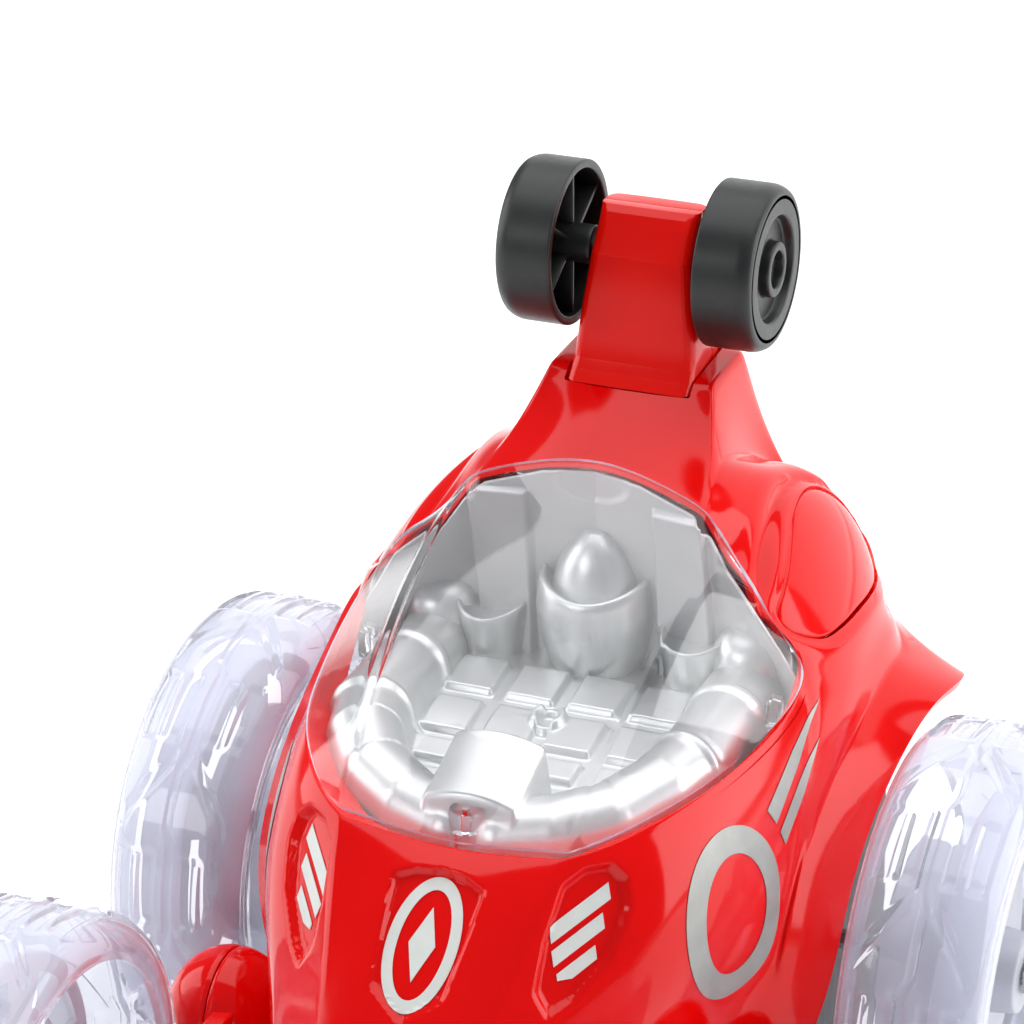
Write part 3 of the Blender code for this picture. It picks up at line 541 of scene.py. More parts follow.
def line_distance(points, line):
    """Distance from points to a polyline, and how far along it the nearest point is (0 to 1)."""
    line = np.array(line, float)
    lengths = np.linalg.norm(np.diff(line, axis=0), axis=1)
    starts = np.concatenate([[0], np.cumsum(lengths)])
    best = np.full(len(points), 1e9)
    along = np.zeros(len(points))
    for k, length in enumerate(lengths):
        edge = line[k + 1] - line[k]
        rel = points - line[k]
        share = np.clip(rel @ edge / (edge @ edge), 0, 1)
        away = np.linalg.norm(rel - share[:, None] * edge, axis=1)
        closer = away < best
        best = np.where(closer, away, best)
        along = np.where(closer, starts[k] + share * length, along)
    return best, along / starts[-1]


def local_frame(outward):
    """Unit vectors across, up and outward of a flat drawing that faces outward."""
    outward = Vector(outward).normalized()
    across = Vector((0, 0, 1)).cross(outward).normalized()
    return across, outward.cross(across), outward


def flat_coordinates(points, centre, outward):
    """Coordinates across, up and outward of points about a centre."""
    axes = np.array([tuple(axis) for axis in local_frame(outward)])
    return (points - np.array(centre)) @ axes.T


def lathe(profile, y, z, side, segments, bend=None):
    """Points and faces of a closed profile of (radius, x) turned about an axle along X. bend may
    change the radii: it gets angles, x and radii as grids and returns new radii."""
    profile = np.array(profile, float)
    angles = np.arange(segments) * math.tau / segments
    radius = np.repeat(profile[:, 0][:, None], segments, 1)
    x = np.repeat(profile[:, 1][:, None], segments, 1)
    theta = np.repeat(angles[None, :], len(profile), 0)
    if bend is not None:
        radius = bend(theta, x, radius)
    points = np.stack([side * x, y - radius * np.cos(theta), z + radius * np.sin(theta)], -1)
    points = points.reshape(-1, 3) + np.array((0, AXLE_Y, 0))
    return points * MM, sheet_faces(len(profile), segments, True, True)


def rounded(profile, radius, steps):
    """Rounds the corners of a closed (radius, x) profile."""
    result = []
    count = len(profile)
    for k in range(count):
        before, here, after = (np.array(profile[(k + d) % count], float) for d in (-1, 0, 1))
        back, ahead = before - here, after - here
        reach = min(radius, np.linalg.norm(back) * 0.45, np.linalg.norm(ahead) * 0.45)
        start = here + back / np.linalg.norm(back) * reach
        stop = here + ahead / np.linalg.norm(ahead) * reach
        for s in range(steps + 1):
            t = s / steps
            result.append(tuple((1 - t) ** 2 * start + 2 * t * (1 - t) * here + t * t * stop))
    return result


def refine(profile, step):
    """Adds points so that no stretch of a closed profile is longer than step."""
    result = []
    for here, there in zip(profile, profile[1:] + profile[:1]):
        length = math.dist(here, there)
        count = max(1, math.ceil(length / step))
        for k in range(count):
            share = k / count
            result.append(tuple(a + (b - a) * share for a, b in zip(here, there)))
    return result


def smooth_ring(points, steps):
    """A closed Catmull-Rom curve through points."""
    ring = []
    count = len(points)
    for k in range(count):
        p0, p1, p2, p3 = (np.array(points[(k + d) % count], float) for d in (-1, 0, 1, 2))
        for s in range(steps):
            t = s / steps
            ring.append(tuple(0.5 * (2 * p1 + (p2 - p0) * t + (2 * p0 - 5 * p1 + 4 * p2 - p3) * t ** 2
                                     + (3 * p1 - p0 - 3 * p2 + p3) * t ** 3)))
    return ring


def full_turn(steps):
    return [math.tau * k / steps for k in range(steps)]


def oval(half_width, half_height):
    return [(half_width * math.cos(t), half_height * math.sin(t)) for t in full_turn(72)]


def box_mesh(low, high):
    bm = bmesh.new()
    bmesh.ops.create_cube(bm, size=1.0)
    low, high = at(*low), at(*high)
    bmesh.ops.scale(bm, vec=high - low, verts=bm.verts)
    bmesh.ops.translate(bm, vec=(low + high) / 2, verts=bm.verts)
    return bm


def rod_mesh(radius, start, end):
    start, end = at(*start), at(*end)
    bm = bmesh.new()
    turn = (end - start).to_track_quat("Z", "Y").to_matrix().to_4x4()
    bmesh.ops.create_cone(bm, cap_ends=True, segments=24, radius1=radius * MM,
                          radius2=radius * MM, depth=(end - start).length,
                          matrix=Matrix.Translation((start + end) / 2) @ turn)
    return bm


def join(objects):
    """Joins objects into the first one."""
    first = objects[0]
    bm = bmesh.new()
    for obj in objects:
        bm.from_mesh(obj.data)
    bm.to_mesh(first.data)
    bm.free()
    for obj in objects[1:]:
        bpy.data.objects.remove(obj, do_unlink=True)
    return first


# ---------------------------------------------------------------- red body

EMBLEM_CENTRE = (0, -111, 103)
EMBLEM_OUT = (0, -0.71, 0.70)
RECESS = ((0, 17.2), (6, 16.4), (10.6, 14.2), (10.9, 12.2), (8.9, -10.9), (0.9, -17.3))
BADGE_CENTRE = (33, -99, 104)
BADGE_OUT = (0.60, -0.68, 0.42)
SCOOP = (
    (27.2, -97.5, 116), (30.3, -92.5, 118.5), (35.1, -88.5, 118.5), (38.6, -88, 115), (40.3, -90.4, 109.2),
    (39.6, -93.7, 104.7), (38.4, -97.4, 99.6), (33.5, -105.8, 93), (29.4, -110.7, 90.5),
    (25.6, -110.3, 95.9), (25.4, -104, 106),
)
RELIEF_REACH = 14.0                 # a relief's drawing takes in the shell this far from its plane
COLLAR_BEAD = ((36.5, 20.5, 163.4), (39.6, 6.5, 160), (43.2, -8.8, 153.3), (46, -17, 149.6))


def mirrored_outline(half):
    return list(half) + [(-x, y) for x, y in reversed(half) if x != 0]


def half_side(points):
    """Folds both halves of the car onto its left side."""
    folded = points.copy()
    folded[:, 0] = np.abs(folded[:, 0])
    return folded


def shell_reliefs(points):
    """How far each point of the shell moves outwards, in millimetres."""
    side = half_side(points)
    move = np.zeros(len(points))

    flat = flat_coordinates(side, EMBLEM_CENTRE, EMBLEM_OUT)
    edge = outline_distance(flat[:, :2], mirrored_outline(RECESS))
    depth = 1.2 + 0.8 * ramp(flat[:, 1], -12, 15)
    near = np.abs(flat[:, 2]) < RELIEF_REACH
    move -= np.where(near, depth * (1 - ramp(edge, -1.1, 0.1)), 0)

    flat = flat_coordinates(side, BADGE_CENTRE, BADGE_OUT)
    outline = flat_coordinates(np.array(SCOOP), BADGE_CENTRE, BADGE_OUT)[:, :2]
    edge = outline_distance(flat[:, :2], outline)
    near = np.abs(flat[:, 2]) < RELIEF_REACH
    move -= np.where(near, 2.0 * (1 - ramp(edge, -1.7, 0.1)), 0)

    away, _ = line_distance(side, COLLAR_BEAD)
    move += 0.9 * (1 - ramp(away, 0.6, 2.2))
    return move


def ledge_columns():
    """The shell's columns, with a recessed ledge inside the rim for the canopy to sit on."""
    middle = Vector((0, -50, 0))
    columns = []
    for column in SHELL:
        rim = Vector(column[0])
        flat = Vector((rim.x, rim.y, 0)) - middle
        inward = flat / flat.length
        share = float(ramp(rim.z, 127, 137))
        width = LEDGE_IN - 4.0 * float(ramp(rim.y, -82, -55))
        inner = rim - inward * (width + (0.9 - width) * share)
        inner.z = rim.z - (LEDGE_DROP + (1.2 - LEDGE_DROP) * share)
        half_way = rim.lerp(inner, 0.5)
        half_way.z -= 0.8 * (1 - share)
        if column[0][0] == 0:
            half_way.x = inner.x = 0
        columns.append([tuple(inner), tuple(half_way)] + list(column))
    return columns


def pod_coordinates(points):
    """Coordinates of folded points along the left pod's axes."""
    across, along, out = (np.array(axis) for axis in pod_axes())
    rel = half_side(points) - np.array(POD_CENTRE)
    return np.stack([rel @ across, rel @ along, rel @ out], -1)


def pod_height(across, along):
    """Height of the egg's surface over its middle plane."""
    inside = 1 - (across / POD_RADII[0]) ** 2 - (along / POD_RADII[1]) ** 2
    return POD_RADII[2] * np.sqrt(np.maximum(inside, 0.02))


def pod_edge_distance(local):
    return outline_distance(local[:, :2], smooth_ring(POD_EDGE, 4))


def pocket_distance(points):
    """Distance outside the pod's pocket."""
    local = pod_coordinates(points)
    return np.where(local[:, 2] > -3, pod_edge_distance(local), 1e3)


def meet_pods(points):
    """Moves of the shell that bring it level with the pods round their pockets."""
    local = pod_coordinates(points)
    edge = pod_edge_distance(local)
    goal = pod_height(local[:, 0], local[:, 1]) + 0.5 + 0.8 * ramp(edge, 0, 2.5)
    weight = np.where(local[:, 2] > -5, 1 - ramp(edge, 2.5, 12), 0)
    shift = np.clip(goal - local[:, 2], -7, 7) * weight
    moves = shift[:, None] * np.array(pod_axes()[2])
    moves[:, 0] *= np.sign(points[:, 0])
    return moves


def socket_distance(points):
    """Distance outside the rounded opening for the tail arm's foot."""
    corner = 1.6
    middle_y, half_y = (34.2 - 5) / 2, (34.2 + 5) / 2
    x = np.abs(points[:, 0]) - (SOCKET_HALF - corner)
    y = np.abs(points[:, 1] - middle_y) - (half_y - corner)
    outline = np.hypot(np.maximum(x, 0), np.maximum(y, 0)) + np.minimum(np.maximum(x, y), 0) - corner
    return np.maximum(outline, 184.6 - points[:, 2])


def pin_hole_distance(points):
    """Distance outside the hole for the swing arm's pin, in each flank."""
    side = np.abs(points[:, 0])
    away = np.hypot(points[:, 1] - BALL_Y, points[:, 2] - FRONT_R) - PIN_HOLE_R
    return np.maximum(away, np.maximum(40 - side, side - 56))


def body_shell():
    """The red moulding, with its reliefs, the pods' pockets, the arm's socket and the pin holes."""
    columns = ledge_columns()
    shift = len(columns[0]) - len(SHELL[0])     # rows of the ledge, which come before the rim
    creases = [
        ([(PANEL_COLUMN, row + shift) for row in range(5)], 0.8),
        ([(PYLON_COLUMN, row + shift) for row in range(5)], 0.9),
        ([(FOOT_COLUMN, row + shift) for row in range(5)], 0.8),
        ([(column, FLARE_ROW + shift) for column in range(8, 14)], 0.9),
        ([(column, 3 + shift) for column in (12, 13)], 0.35),
        ([(column, shift) for column in range(len(columns))], 0.7)]
    for row in (2, 3):
        creases.append(([(column, row + shift) for column in range(PYLON_COLUMN, len(columns))], 0.8))
    shell = raw_object("red_body", cage(columns, creases))
    mirror(shell)
    subdivide(shell, SHELL_LEVELS)
    freeze(shell)
    mesh = shell.data
    points = vertex_vectors(mesh, "co")
    move = shell_reliefs(car_mm(points))
    points += vertex_vectors(mesh, "normal") * move[:, None] * MM
    points += meet_pods(car_mm(points)) * MM
    mesh.vertices.foreach_set("co", points.ravel())
    mesh.update()
    clip_sheet(shell, (pocket_distance, socket_distance, pin_hole_distance))
    thicken(shell, SHELL_T)
    freeze(shell)
    return dress(shell, RED, "car_body", ["body_shell"], 50)


def pod_axes():
    """The left pod's axes: across, along and outward."""
    across = POD_ACROSS
    out = (POD_OUT - across * POD_OUT.dot(across)).normalized()
    return across, out.cross(across), out


def shoulder_pods():
    """The crown of the egg inside its edge, with a rounded border and a skirt into the pocket."""
    ring = np.array(smooth_ring(POD_EDGE, 8))
    middle = np.array((-4.0, 4.0))
    rel = ring - middle
    rel *= 1 - 0.35 / np.linalg.norm(rel, axis=1)[:, None]
    levels = [(s, 0.0) for s in np.linspace(0.0, 0.93, 26)[1:]]
    levels += [(0.955, 0.05), (0.975, 0.18), (0.99, 0.42), (1.0, 0.9), (1.0, 2.5), (1.0, 5.0), (0.96, 5.4),
               (0.7, 5.4)]
    axes = np.array([tuple(axis) for axis in pod_axes()])
    rows = []
    for scale, drop in levels:
        flat = middle + rel * scale
        rim = middle + rel * min(scale, 1.0)
        height = pod_height(rim[:, 0], rim[:, 1]) - drop
        rows.append(np.column_stack([flat, height]))
    count = len(ring)
    top = np.array([[middle[0], middle[1], float(pod_height(middle[0], middle[1]))]])
    local = np.concatenate(rows + [top])
    car = local @ axes + np.array(POD_CENTRE)
    faces = sheet_faces(len(levels), count, False, True)
    faces += [(len(local) - 1, k, (k + 1) % count) for k in range(count)]
    faces.append(tuple((len(levels) - 1) * count + k for k in range(count)))
    for word, side in SIDES:
        points = [at(side * x, y, z) for x, y, z in car]
        piece(f"pod_{word}", points, faces, RED, "car_body", [f"shoulder_pod_{word}"], 60)


def tail_arm():
    """The arm's front and rear halves, which meet in a fine gap."""
    for name, front in (("arm_front", True), ("arm_rear", False)):
        toward = 1 if front else -1
        split = ARM_SPLIT - toward * ARM_GAP / 2
        bm = bmesh.new()
        rows = []
        for z, near, far, half in ARM:
            face = near if front else far
            corner = min(2.8, abs(split - face) * 0.6)
            row = [(half, split, z)]
            for k in range(7):
                angle = math.pi / 2 * k / 6
                row.append((half - corner + corner * math.cos(angle),
                            face + toward * (corner - corner * math.sin(angle)), z))
            row += [(half * 0.4, face - toward * 0.15, z), (0, face - toward * 0.2, z)]
            rows.append([bm.verts.new(at(*point)) for point in row])
        width = len(rows[0])
        for lower, upper in zip(rows, rows[1:]):
            for k in range(width - 1):
                bm.faces.new((lower[k], lower[k + 1], upper[k + 1], upper[k]))
        top = bm.verts.new(at(0, split, ARM[-1][0]))
        bm.faces.new(rows[-1] + [top])
        bmesh.ops.recalc_face_normals(bm, faces=bm.faces)
        facing_y = sum(face.normal.y for face in bm.faces)
        if (facing_y > 0) == front:
            bmesh.ops.reverse_faces(bm, faces=bm.faces)
        half_arm = raw_object(name + "_skin", bm)
        mirror(half_arm)
        thicken(half_arm, ARM_T)
        round_edges(half_arm, 0.9, 4, 14)
        freeze(half_arm)
        if front:
            bore = rod_mesh(1.9, (-20, TAIL_AXLE_Y, TAIL_MIDDLE.z), (20, TAIL_AXLE_Y, TAIL_MIDDLE.z))
            cut(half_arm, [raw_object("tail_bore", bore)])
        dress(half_arm, RED_ARM, "car_body", [name], 30)


def swing_arms():
    """Each swing arm is a ball on the pivot, in two halves, with a flat bar to the wheel's axle."""
    radius = BALL_SIZE.z / 2
    split = BALL_MIDDLE.x - BALL_SIZE.x / 2
    wheel_y = FRONT_MIDDLE.y - AXLE_Y
    for word, side in SIDES:
        body = f"front_arm_{word}"
        turn = np.linspace(0.05, math.pi / 2, 26)
        for name, way, stands_for in (("cap", 1, "swing_arm_cap"), ("root", -1, "swing_arm")):
            profile = [(0.01, split + way * 0.15), (radius - 0.35, split + way * 0.15)]
            profile += [(radius * math.cos(a), split + way * radius * math.sin(a)) for a in turn[:-1]]
            bore = 0.01 if way > 0 else 2.7
            profile = [(max(r, bore), x) for r, x in profile]
            profile.append((bore, split + way * radius * (1.0 if way > 0 else 0.975)))
            points, faces = lathe(profile, BALL_Y, FRONT_R, side, 72)
            piece(f"ball_{name}_{word}", points, faces, RED, body, [f"{stands_for}_{word}"])
        rows = []
        for x, shrink in ((60.2, 1.0), (60.0, 0.4), (60.4, 0.0), (64.6, 0.0), (65.0, 0.4), (64.8, 1.0)):
            reach = BAR_HALF - shrink
            row = []
            for end_y, start in ((wheel_y, -math.pi / 2), (BALL_Y - 6, math.pi / 2)):
                for k in range(25):
                    angle = start + math.pi * k / 24
                    row.append((end_y - reach * math.cos(angle), reach * math.sin(angle)))
            rows.append([at(side * x, y, FRONT_R + z) for y, z in row])
        count = len(rows[0])
        faces = sheet_faces(len(rows), count, False, True)
        faces += [tuple(range(count)), tuple((len(rows) - 1) * count + k for k in range(count))]
        piece(f"swing_bar_{word}", [point for row in rows for point in row], faces, RED, body)


# ---------------------------------------------------------------- canopy

def canopy():
    """Three clear facets with folds between. The edge sits inside the shell's rim, by more at the
    front than at the rear."""
    def edge(column):
        low = int(column)
        share = column - low
        high = min(low + 1, len(SHELL) - 1)
        rim = Vector(SHELL[low][0]).lerp(Vector(SHELL[high][0]), share)
        beside = Vector(SHELL[low][1]).lerp(Vector(SHELL[high][1]), share)
        inset = 1.3 - 1.2 * float(ramp(rim.z, 132, 150))
        return rim + (rim - beside).normalized() * inset

    places = (0.0, 0.05, 0.13, 0.24, 0.37, 0.50, 0.63, 0.75, 0.86, 0.94, 1.0)
    sides = (2.4, 3, 4, 5, 6, 7, 8, 9, 10, 11, 12)
    columns = []
    for t, side_column in zip(places, sides):
        rise = 4 * t * (1 - t)
        fold = FOLD_FRONT.lerp(FOLD_REAR, t) + Vector((1.4 * rise, 0, FOLD_RISE * rise))
        middle = edge(0).lerp(edge(17), t) + Vector((0, 0, (FOLD_RISE + 0.5) * rise))
        across = []
        for k, (front_column, rear_column) in enumerate(((0, 17), (0.7, 16), (1.3, 15), (1.7, 13.4))):
            share = k / 4
            base = edge(front_column).lerp(edge(rear_column), t)
            level = middle.lerp(fold, share)
            point = base.lerp(level, min(1.0, rise * 1.6))
            point.z = base.z * (1 - rise) + level.z * rise + 1.2 * rise * share * (1 - share) * 4
            across.append(point)
        across[0] = middle
        rim = edge(side_column)
        half_way = fold.lerp(rim, 0.5)
        inner_fold = fold + (across[-1] - fold) * 0.16
        outer_fold = fold.lerp(rim, 0.11)
        columns.append([tuple(point) for point in across + [inner_fold, outer_fold, half_way, rim]])
    creases = [([(k, row) for k in range(len(columns))], 0.9) for row in (4, 5)]
    bm = cage(columns, creases)
    bmesh.ops.reverse_faces(bm, faces=bm.faces)
    skin = raw_object("canopy_skin", bm)
    mirror(skin)
    subdivide(skin, 3)
    thicken(skin, 1.4, even=False)
    skin.modifiers["thickness"].material_offset_rim = 1
    skin.data.materials.append(CLEAR)
    skin.data.materials.append(CLEAR_EDGE)
    freeze(skin)
    dress(skin, CLEAR, "car_body", ["canopy"], keep_materials=True)


def canopy_fittings():
    """Clear clips moulded on the canopy's edge, and the screw boss at its nose."""
    fittings = []
    half_size = Vector((1.6, 3.0, 3.2))
    for side in (1, -1):
        near, far = sorted((side * 16.5, side * 26.0))
        fittings.append(raw_object("clip", box_mesh((near, -11.6, 166.2), (far, -9.0, 169.0))))
        place = Vector((side * 49.5, -25.5, 127))
        fittings.append(raw_object("clip", box_mesh(place - half_size, place + half_size)))
    clips = join(fittings)
    clips.name = "canopy_clips"
    round_edges(clips, 0.5, 2)
    freeze(clips)
    dress(clips, CLEAR, "car_body")

    outline = [(0.9, 0), (0.9, -5.2), (2.1, -5.6), (2.1, -10.5), (3.6, -10.5), (3.9, -0.6), (3.5, 0)]
    steps = 40
    points = []
    centre = Vector((0, -85.4, 122.6))
    for radius, z in outline:
        for k in range(steps):
            angle = math.tau * k / steps
            points.append(at(centre.x + radius * math.cos(angle), centre.y + radius * math.sin(angle),
                             centre.z + z))
    piece("canopy_boss", points, sheet_faces(len(outline), steps, True, True), CLEAR, "car_body")


# ---------------------------------------------------------------- cockpit

def tray_half_width(y):
    """Half width of the silver tray at each station."""
    stations = (-89.5, -87, -84, -76, -63.5, -49, -34, -18, -5)
    widths = (27.0, 30.5, 33.5, 39.5, 45.5, 48.8, 51.0, 51.6, 51.0)
    return np.interp(y, stations, widths)


def floor_height(y):
    (y0, z0), (y1, z1) = FLOOR_FRONT, FLOOR_REAR
    return z0 + (np.clip(y, y0, y1) - y0) * (z1 - z0) / (y1 - y0)


def box_bump(x, y, x_low, x_high, y_low, y_high, edge):
    """1 inside a rectangle and 0 outside, with sloping edges."""
    inside_x = ramp(x, x_low, x_low + edge) * (1 - ramp(x, x_high - edge, x_high))
    inside_y = ramp(y, y_low, y_low + edge) * (1 - ramp(y, y_high - edge, y_high))
    return inside_x * inside_y


def tube_height(x, y):
    """Top of the fat tube that runs round the floor, with raised joints."""
    points = np.stack([np.abs(x).ravel(), y.ravel()], -1)
    line = np.array(TUBE)
    away, along = (values.reshape(x.shape) for values in line_distance(points, line[:, :2]))
    stops = np.concatenate([[0], np.cumsum(np.linalg.norm(np.diff(line[:, :2], axis=0), axis=1))])
    centre = np.interp(along, stops / stops[-1], line[:, 2])
    length = along * stops[-1]
    radius = TUBE_R + 0.6 * (1 - ramp(length, 22, 23.5))
    for joint in (23.5, 47.0):
        radius = radius + 0.9 * np.exp(-((length - joint) / 1.3) ** 2)
    inner = np.sqrt(np.maximum(radius ** 2 - away ** 2, 0))
    return np.where(away < radius, centre + inner, centre - (away - radius) * 2.5)


def console_height(x, y):
    """The smooth console between the tube's ends."""
    top = 132.0 - 0.40 * np.maximum(-66 - y, 0) - 0.018 * x ** 2
    side = 1 - ramp(np.abs(x), 10.2, 13.8 - 0.05 * (y + 66))
    ends = ramp(y, -88.0, -83.0) * (1 - ramp(y, -66.0, -62.5))
    return 110 + (top - 110) * side * ends


def tray_height(x, y):
    """Height of the tray's floor with its tiles, the boss, the tube and the console."""
    height = floor_height(y)
    columns = ((1.4, 13.8), (16.4, 28.8))
    rows = ((-31.2, -18.2), (-47.0, -34.4), (-57.5, -49.6), (-68, -60))
    for x_low, x_high in columns:
        for y_low, y_high in rows:
            for sign in (1, -1):
                height = height + 1.7 * box_bump(sign * x, y, x_low, x_high, y_low, y_high, 0.8)
    for y_low, y_high in ((-16, -9.5), (-31, -20), (-46, -36)):
        height = height + 1.0 * box_bump(np.abs(x), y, 30.6, 36.5, y_low, y_high, 0.9)
    boss = np.hypot(x, y + 37.5)
    height = height + 1.9 * (1 - ramp(boss, 3.6, 4.6)) - 1.3 * (1 - ramp(boss, 1.6, 3.0))
    height = smooth_max(height, tube_height(x, y), 1.2)
    height = smooth_max(height, console_height(x, y), 1.6)
    return height


def cockpit_floor():
    across, along = 261, 241
    y = np.linspace(-89.5, WALL_Y + 0.6, along)
    y, s = np.meshgrid(y, np.linspace(-1, 1, across), indexing="ij")
    x = s * tray_half_width(y)
    tray = sheet_object("tray_floor", x, y, tray_height(x, y))
    thicken(tray, TRAY_T)
    freeze(tray)
    dress(tray, SILVER, "car_body", ["cockpit_tray"], None)


def cockpit_wall():
    """The wall behind the seats. It leans in to follow the rim, and has two pilasters."""
    rim = [Vector(column[0]) for column in SHELL[8:]]
    rim.reverse()
    top_x = [point.x * 0.97 for point in rim]
    top_y = [point.y - 1.7 for point in rim]
    top_z = [point.z - 2.4 for point in rim]
    across, up = 301, 141
    foot_z = 118.0
    half = np.linspace(-1, 1, across)
    side = np.abs(half)
    t = np.linspace(0, 1, up)[:, None]
    high_x = side * top_x[-1]
    high_y = np.interp(high_x, top_x, top_y)
    high_z = np.interp(high_x, top_x, top_z)
    low_x = side * 51.0
    low_y = WALL_Y - 9.0 * ramp(low_x, 40, 52)
    x = low_x + (high_x - low_x) * t
    lean = t ** 1.6
    y = low_y + (high_y - low_y) * lean
    z = foot_z + (high_z - foot_z) * t
    pilaster = ramp(x, 14.8, 16.0) * (1 - ramp(x, 28.0, 29.2)) * (1 - ramp(z, 165.0, 165.9))
    hollow = (1 - ramp(np.hypot(x / 1.6, z - 169.5), 4.6, 6.0)) * ramp(z, 160, 164)
    y = y - 2.6 * pilaster + 0.7 * hollow
    wall = sheet_object("tray_wall", x * np.sign(half), y, z)
    thicken(wall, TRAY_T, even=False)
    freeze(wall)
    # The wall gets the darker copy of the tray's silver: painted shade
    dress(wall, WALL_SHADED_SILVER, "car_body", (), None)


def seat(name, centre, radii, rows):
    """A rounded upright form. rows are (scale, height, dip at the front)."""
    steps = 64
    points = []
    for scale, z, dip in rows:
        for k in range(steps):
            angle = math.tau * k / steps
            forward = max(0.0, -math.sin(angle))
            points.append(at(centre[0] + radii[0] * scale * math.cos(angle),
                             centre[1] + radii[1] * scale * math.sin(angle), z - dip * forward ** 2))
    faces = sheet_faces(len(rows), steps, False, True)
    faces.append(tuple(range(steps)))
    faces.append(tuple((len(rows) - 1) * steps + k for k in range(steps)))
    piece(name, points, faces, SILVER, "car_body", (), None)


def seats():
    """A bucket and a rounded tank on each side of the driver's seat."""
    for word, side in SIDES:
        seat(f"bucket_{word}", (side * 25, -9), (8.4, 9.6),
             ((0.80, 118, 0), (0.84, 124, 0), (0.95, 130, 0), (1.03, 134.6, 1.6), (1.04, 136.0, 2.2),
              (1.00, 136.6, 2.4), (0.94, 136.3, 2.6), (0.86, 135.2, 2.6), (0.62, 133.9, 2.2),
              (0.30, 133.2, 1.0), (0.02, 133.0, 0)))
        seat(f"tank_{word}", (side * 38.2, -9), (9.4, 9.0),
             ((1.0, 119, 0), (1.0, 127, 0), (0.98, 131.5, 0), (0.90, 135.0, 0.6), (0.76, 137.4, 1.2),
              (0.55, 138.9, 1.2), (0.30, 139.6, 0.6), (0.02, 139.8, 0)))
    seat("driver_seat", (0, -8), (13.4, 12.4),
         ((0.50, 116, 0), (0.66, 119, 0), (0.80, 123, 0), (0.93, 128, 0), (1.02, 133, 0.2),
          (1.05, 138, 0.8), (1.03, 142.5, 2.0), (1.00, 145.4, 3.2), (0.96, 146.3, 3.6),
          (0.90, 146.1, 3.6), (0.85, 144.8, 3.2), (0.80, 142.8, 2.6), (0.775, 143.0, 2.0),
          (0.755, 144.4, 1.6), (0.715, 146.4, 1.0), (0.65, 148.8, 0.5), (0.55, 151.4, 0),
          (0.43, 153.6, 0), (0.31, 155.2, 0), (0.24, 155.9, 0), (0.205, 156.3, 0), (0.02, 156.4, 0)))


# ---------------------------------------------------------------- small black wheels

def tail_wheels():
    """Cup-shaped wheels, open towards the arm, with six ribs round the hub."""
    low_x = TAIL_MIDDLE.x - TAIL_SIZE.x / 2
    rim_in = 17.2
    outer = TAIL_MIDDLE.x + TAIL_SIZE.x / 2
    profile = rounded([
        (1.9, low_x), (4.6, low_x), (4.6, 27.0), (17.4, 27.0), (17.4, rim_in), (TAIL_R, rim_in),
        (TAIL_R, outer - 0.4), (12.6, outer - 0.4), (12.0, 28.6), (6.6, 28.6), (6.4, outer),
        (4.4, outer), (4.1, 28.8), (1.9, 28.8)], 0.5, 3)

    def crown(theta, x, radius):
        """Rounds the tread's outer shoulder."""
        over = np.clip((x - (outer - 4.2)) / 4.2, 0, 1)
        drop = 2.6 * (1 - np.sqrt(np.maximum(1 - over ** 2, 0)))
        return np.where(radius > 17.5, radius - drop, radius)

    dense = refine(profile, 0.7)
    for word, side in SIDES:
        points, faces = lathe(dense, TAIL_AXLE_Y, TAIL_MIDDLE.z, side, 96, crown)
        piece(f"roll_wheel_{word}", points, faces, BLACK, f"tail_wheel_{word}", [f"arm_wheel_{word}"])
        ribs = []
        for k in range(6):
            turn = Matrix.Rotation(math.tau * (k + 0.5) / 6, 4, "X")
            out = Matrix.Translation((0, (4.4 + 17.6) / 2, 0))
            bm = bmesh.new()
            bmesh.ops.create_cube(bm, size=1.0)
            bmesh.ops.scale(bm, vec=(8.4, 13.4, 1.1), verts=bm.verts)
            bmesh.ops.transform(bm, matrix=turn @ out, verts=bm.verts)
            bmesh.ops.scale(bm, vec=(MM, MM, MM), verts=bm.verts)
            bmesh.ops.translate(bm, vec=at(side * 22.9, TAIL_AXLE_Y, TAIL_MIDDLE.z), verts=bm.verts)
            ribs.append(raw_object("rib", bm))
        ribs = join(ribs)
        ribs.name = f"roll_wheel_ribs_{word}"
        round_edges(ribs, 0.3, 2)
        freeze(ribs)
        dress(ribs, BLACK, f"tail_wheel_{word}")


# ---------------------------------------------------------------- clear wheels

PITCHES = 8
TYRE_WALL = 1.9
SHOULDER_R = 8.5


def tread_relief(theta, across, half_width):
    """Depth of the tread's slots, centre groove and chevrons, in millimetres."""
    turn = (theta / math.tau * PITCHES) % 1.0
    side = np.abs(across)
    slot_along = ramp(turn, 0.02, 0.05) * (1 - ramp(turn, 0.41, 0.44))
    first = ramp(side, 3.0, 3.5) * (1 - ramp(side, 6.8, 7.3))
    second = ramp(side, 8.8, 9.3) * (1 - ramp(side, 12.4, 12.9))
    slots = slot_along * np.maximum(first, second)
    jog = 1.7 * (ramp(turn, 0.46, 0.58) - ramp(turn, 0.88, 1.0))
    centre = across + 0.85 - jog
    groove = 1 - ramp(np.abs(centre), 0.7, 1.15)
    slope = (side - 3.0) / (half_width - 3.0)
    chevron_at = 0.93 - 0.34 * slope
    chevron = (1 - ramp(np.abs(turn - chevron_at), 0.035, 0.065)) * ramp(side, 2.2, 3.2)
    chevron *= 1 - ramp(side, half_width + 0.5, half_width + 3)
    return 1.3 * np.maximum(slots, 0) + 1.1 * groove + 1.0 * chevron


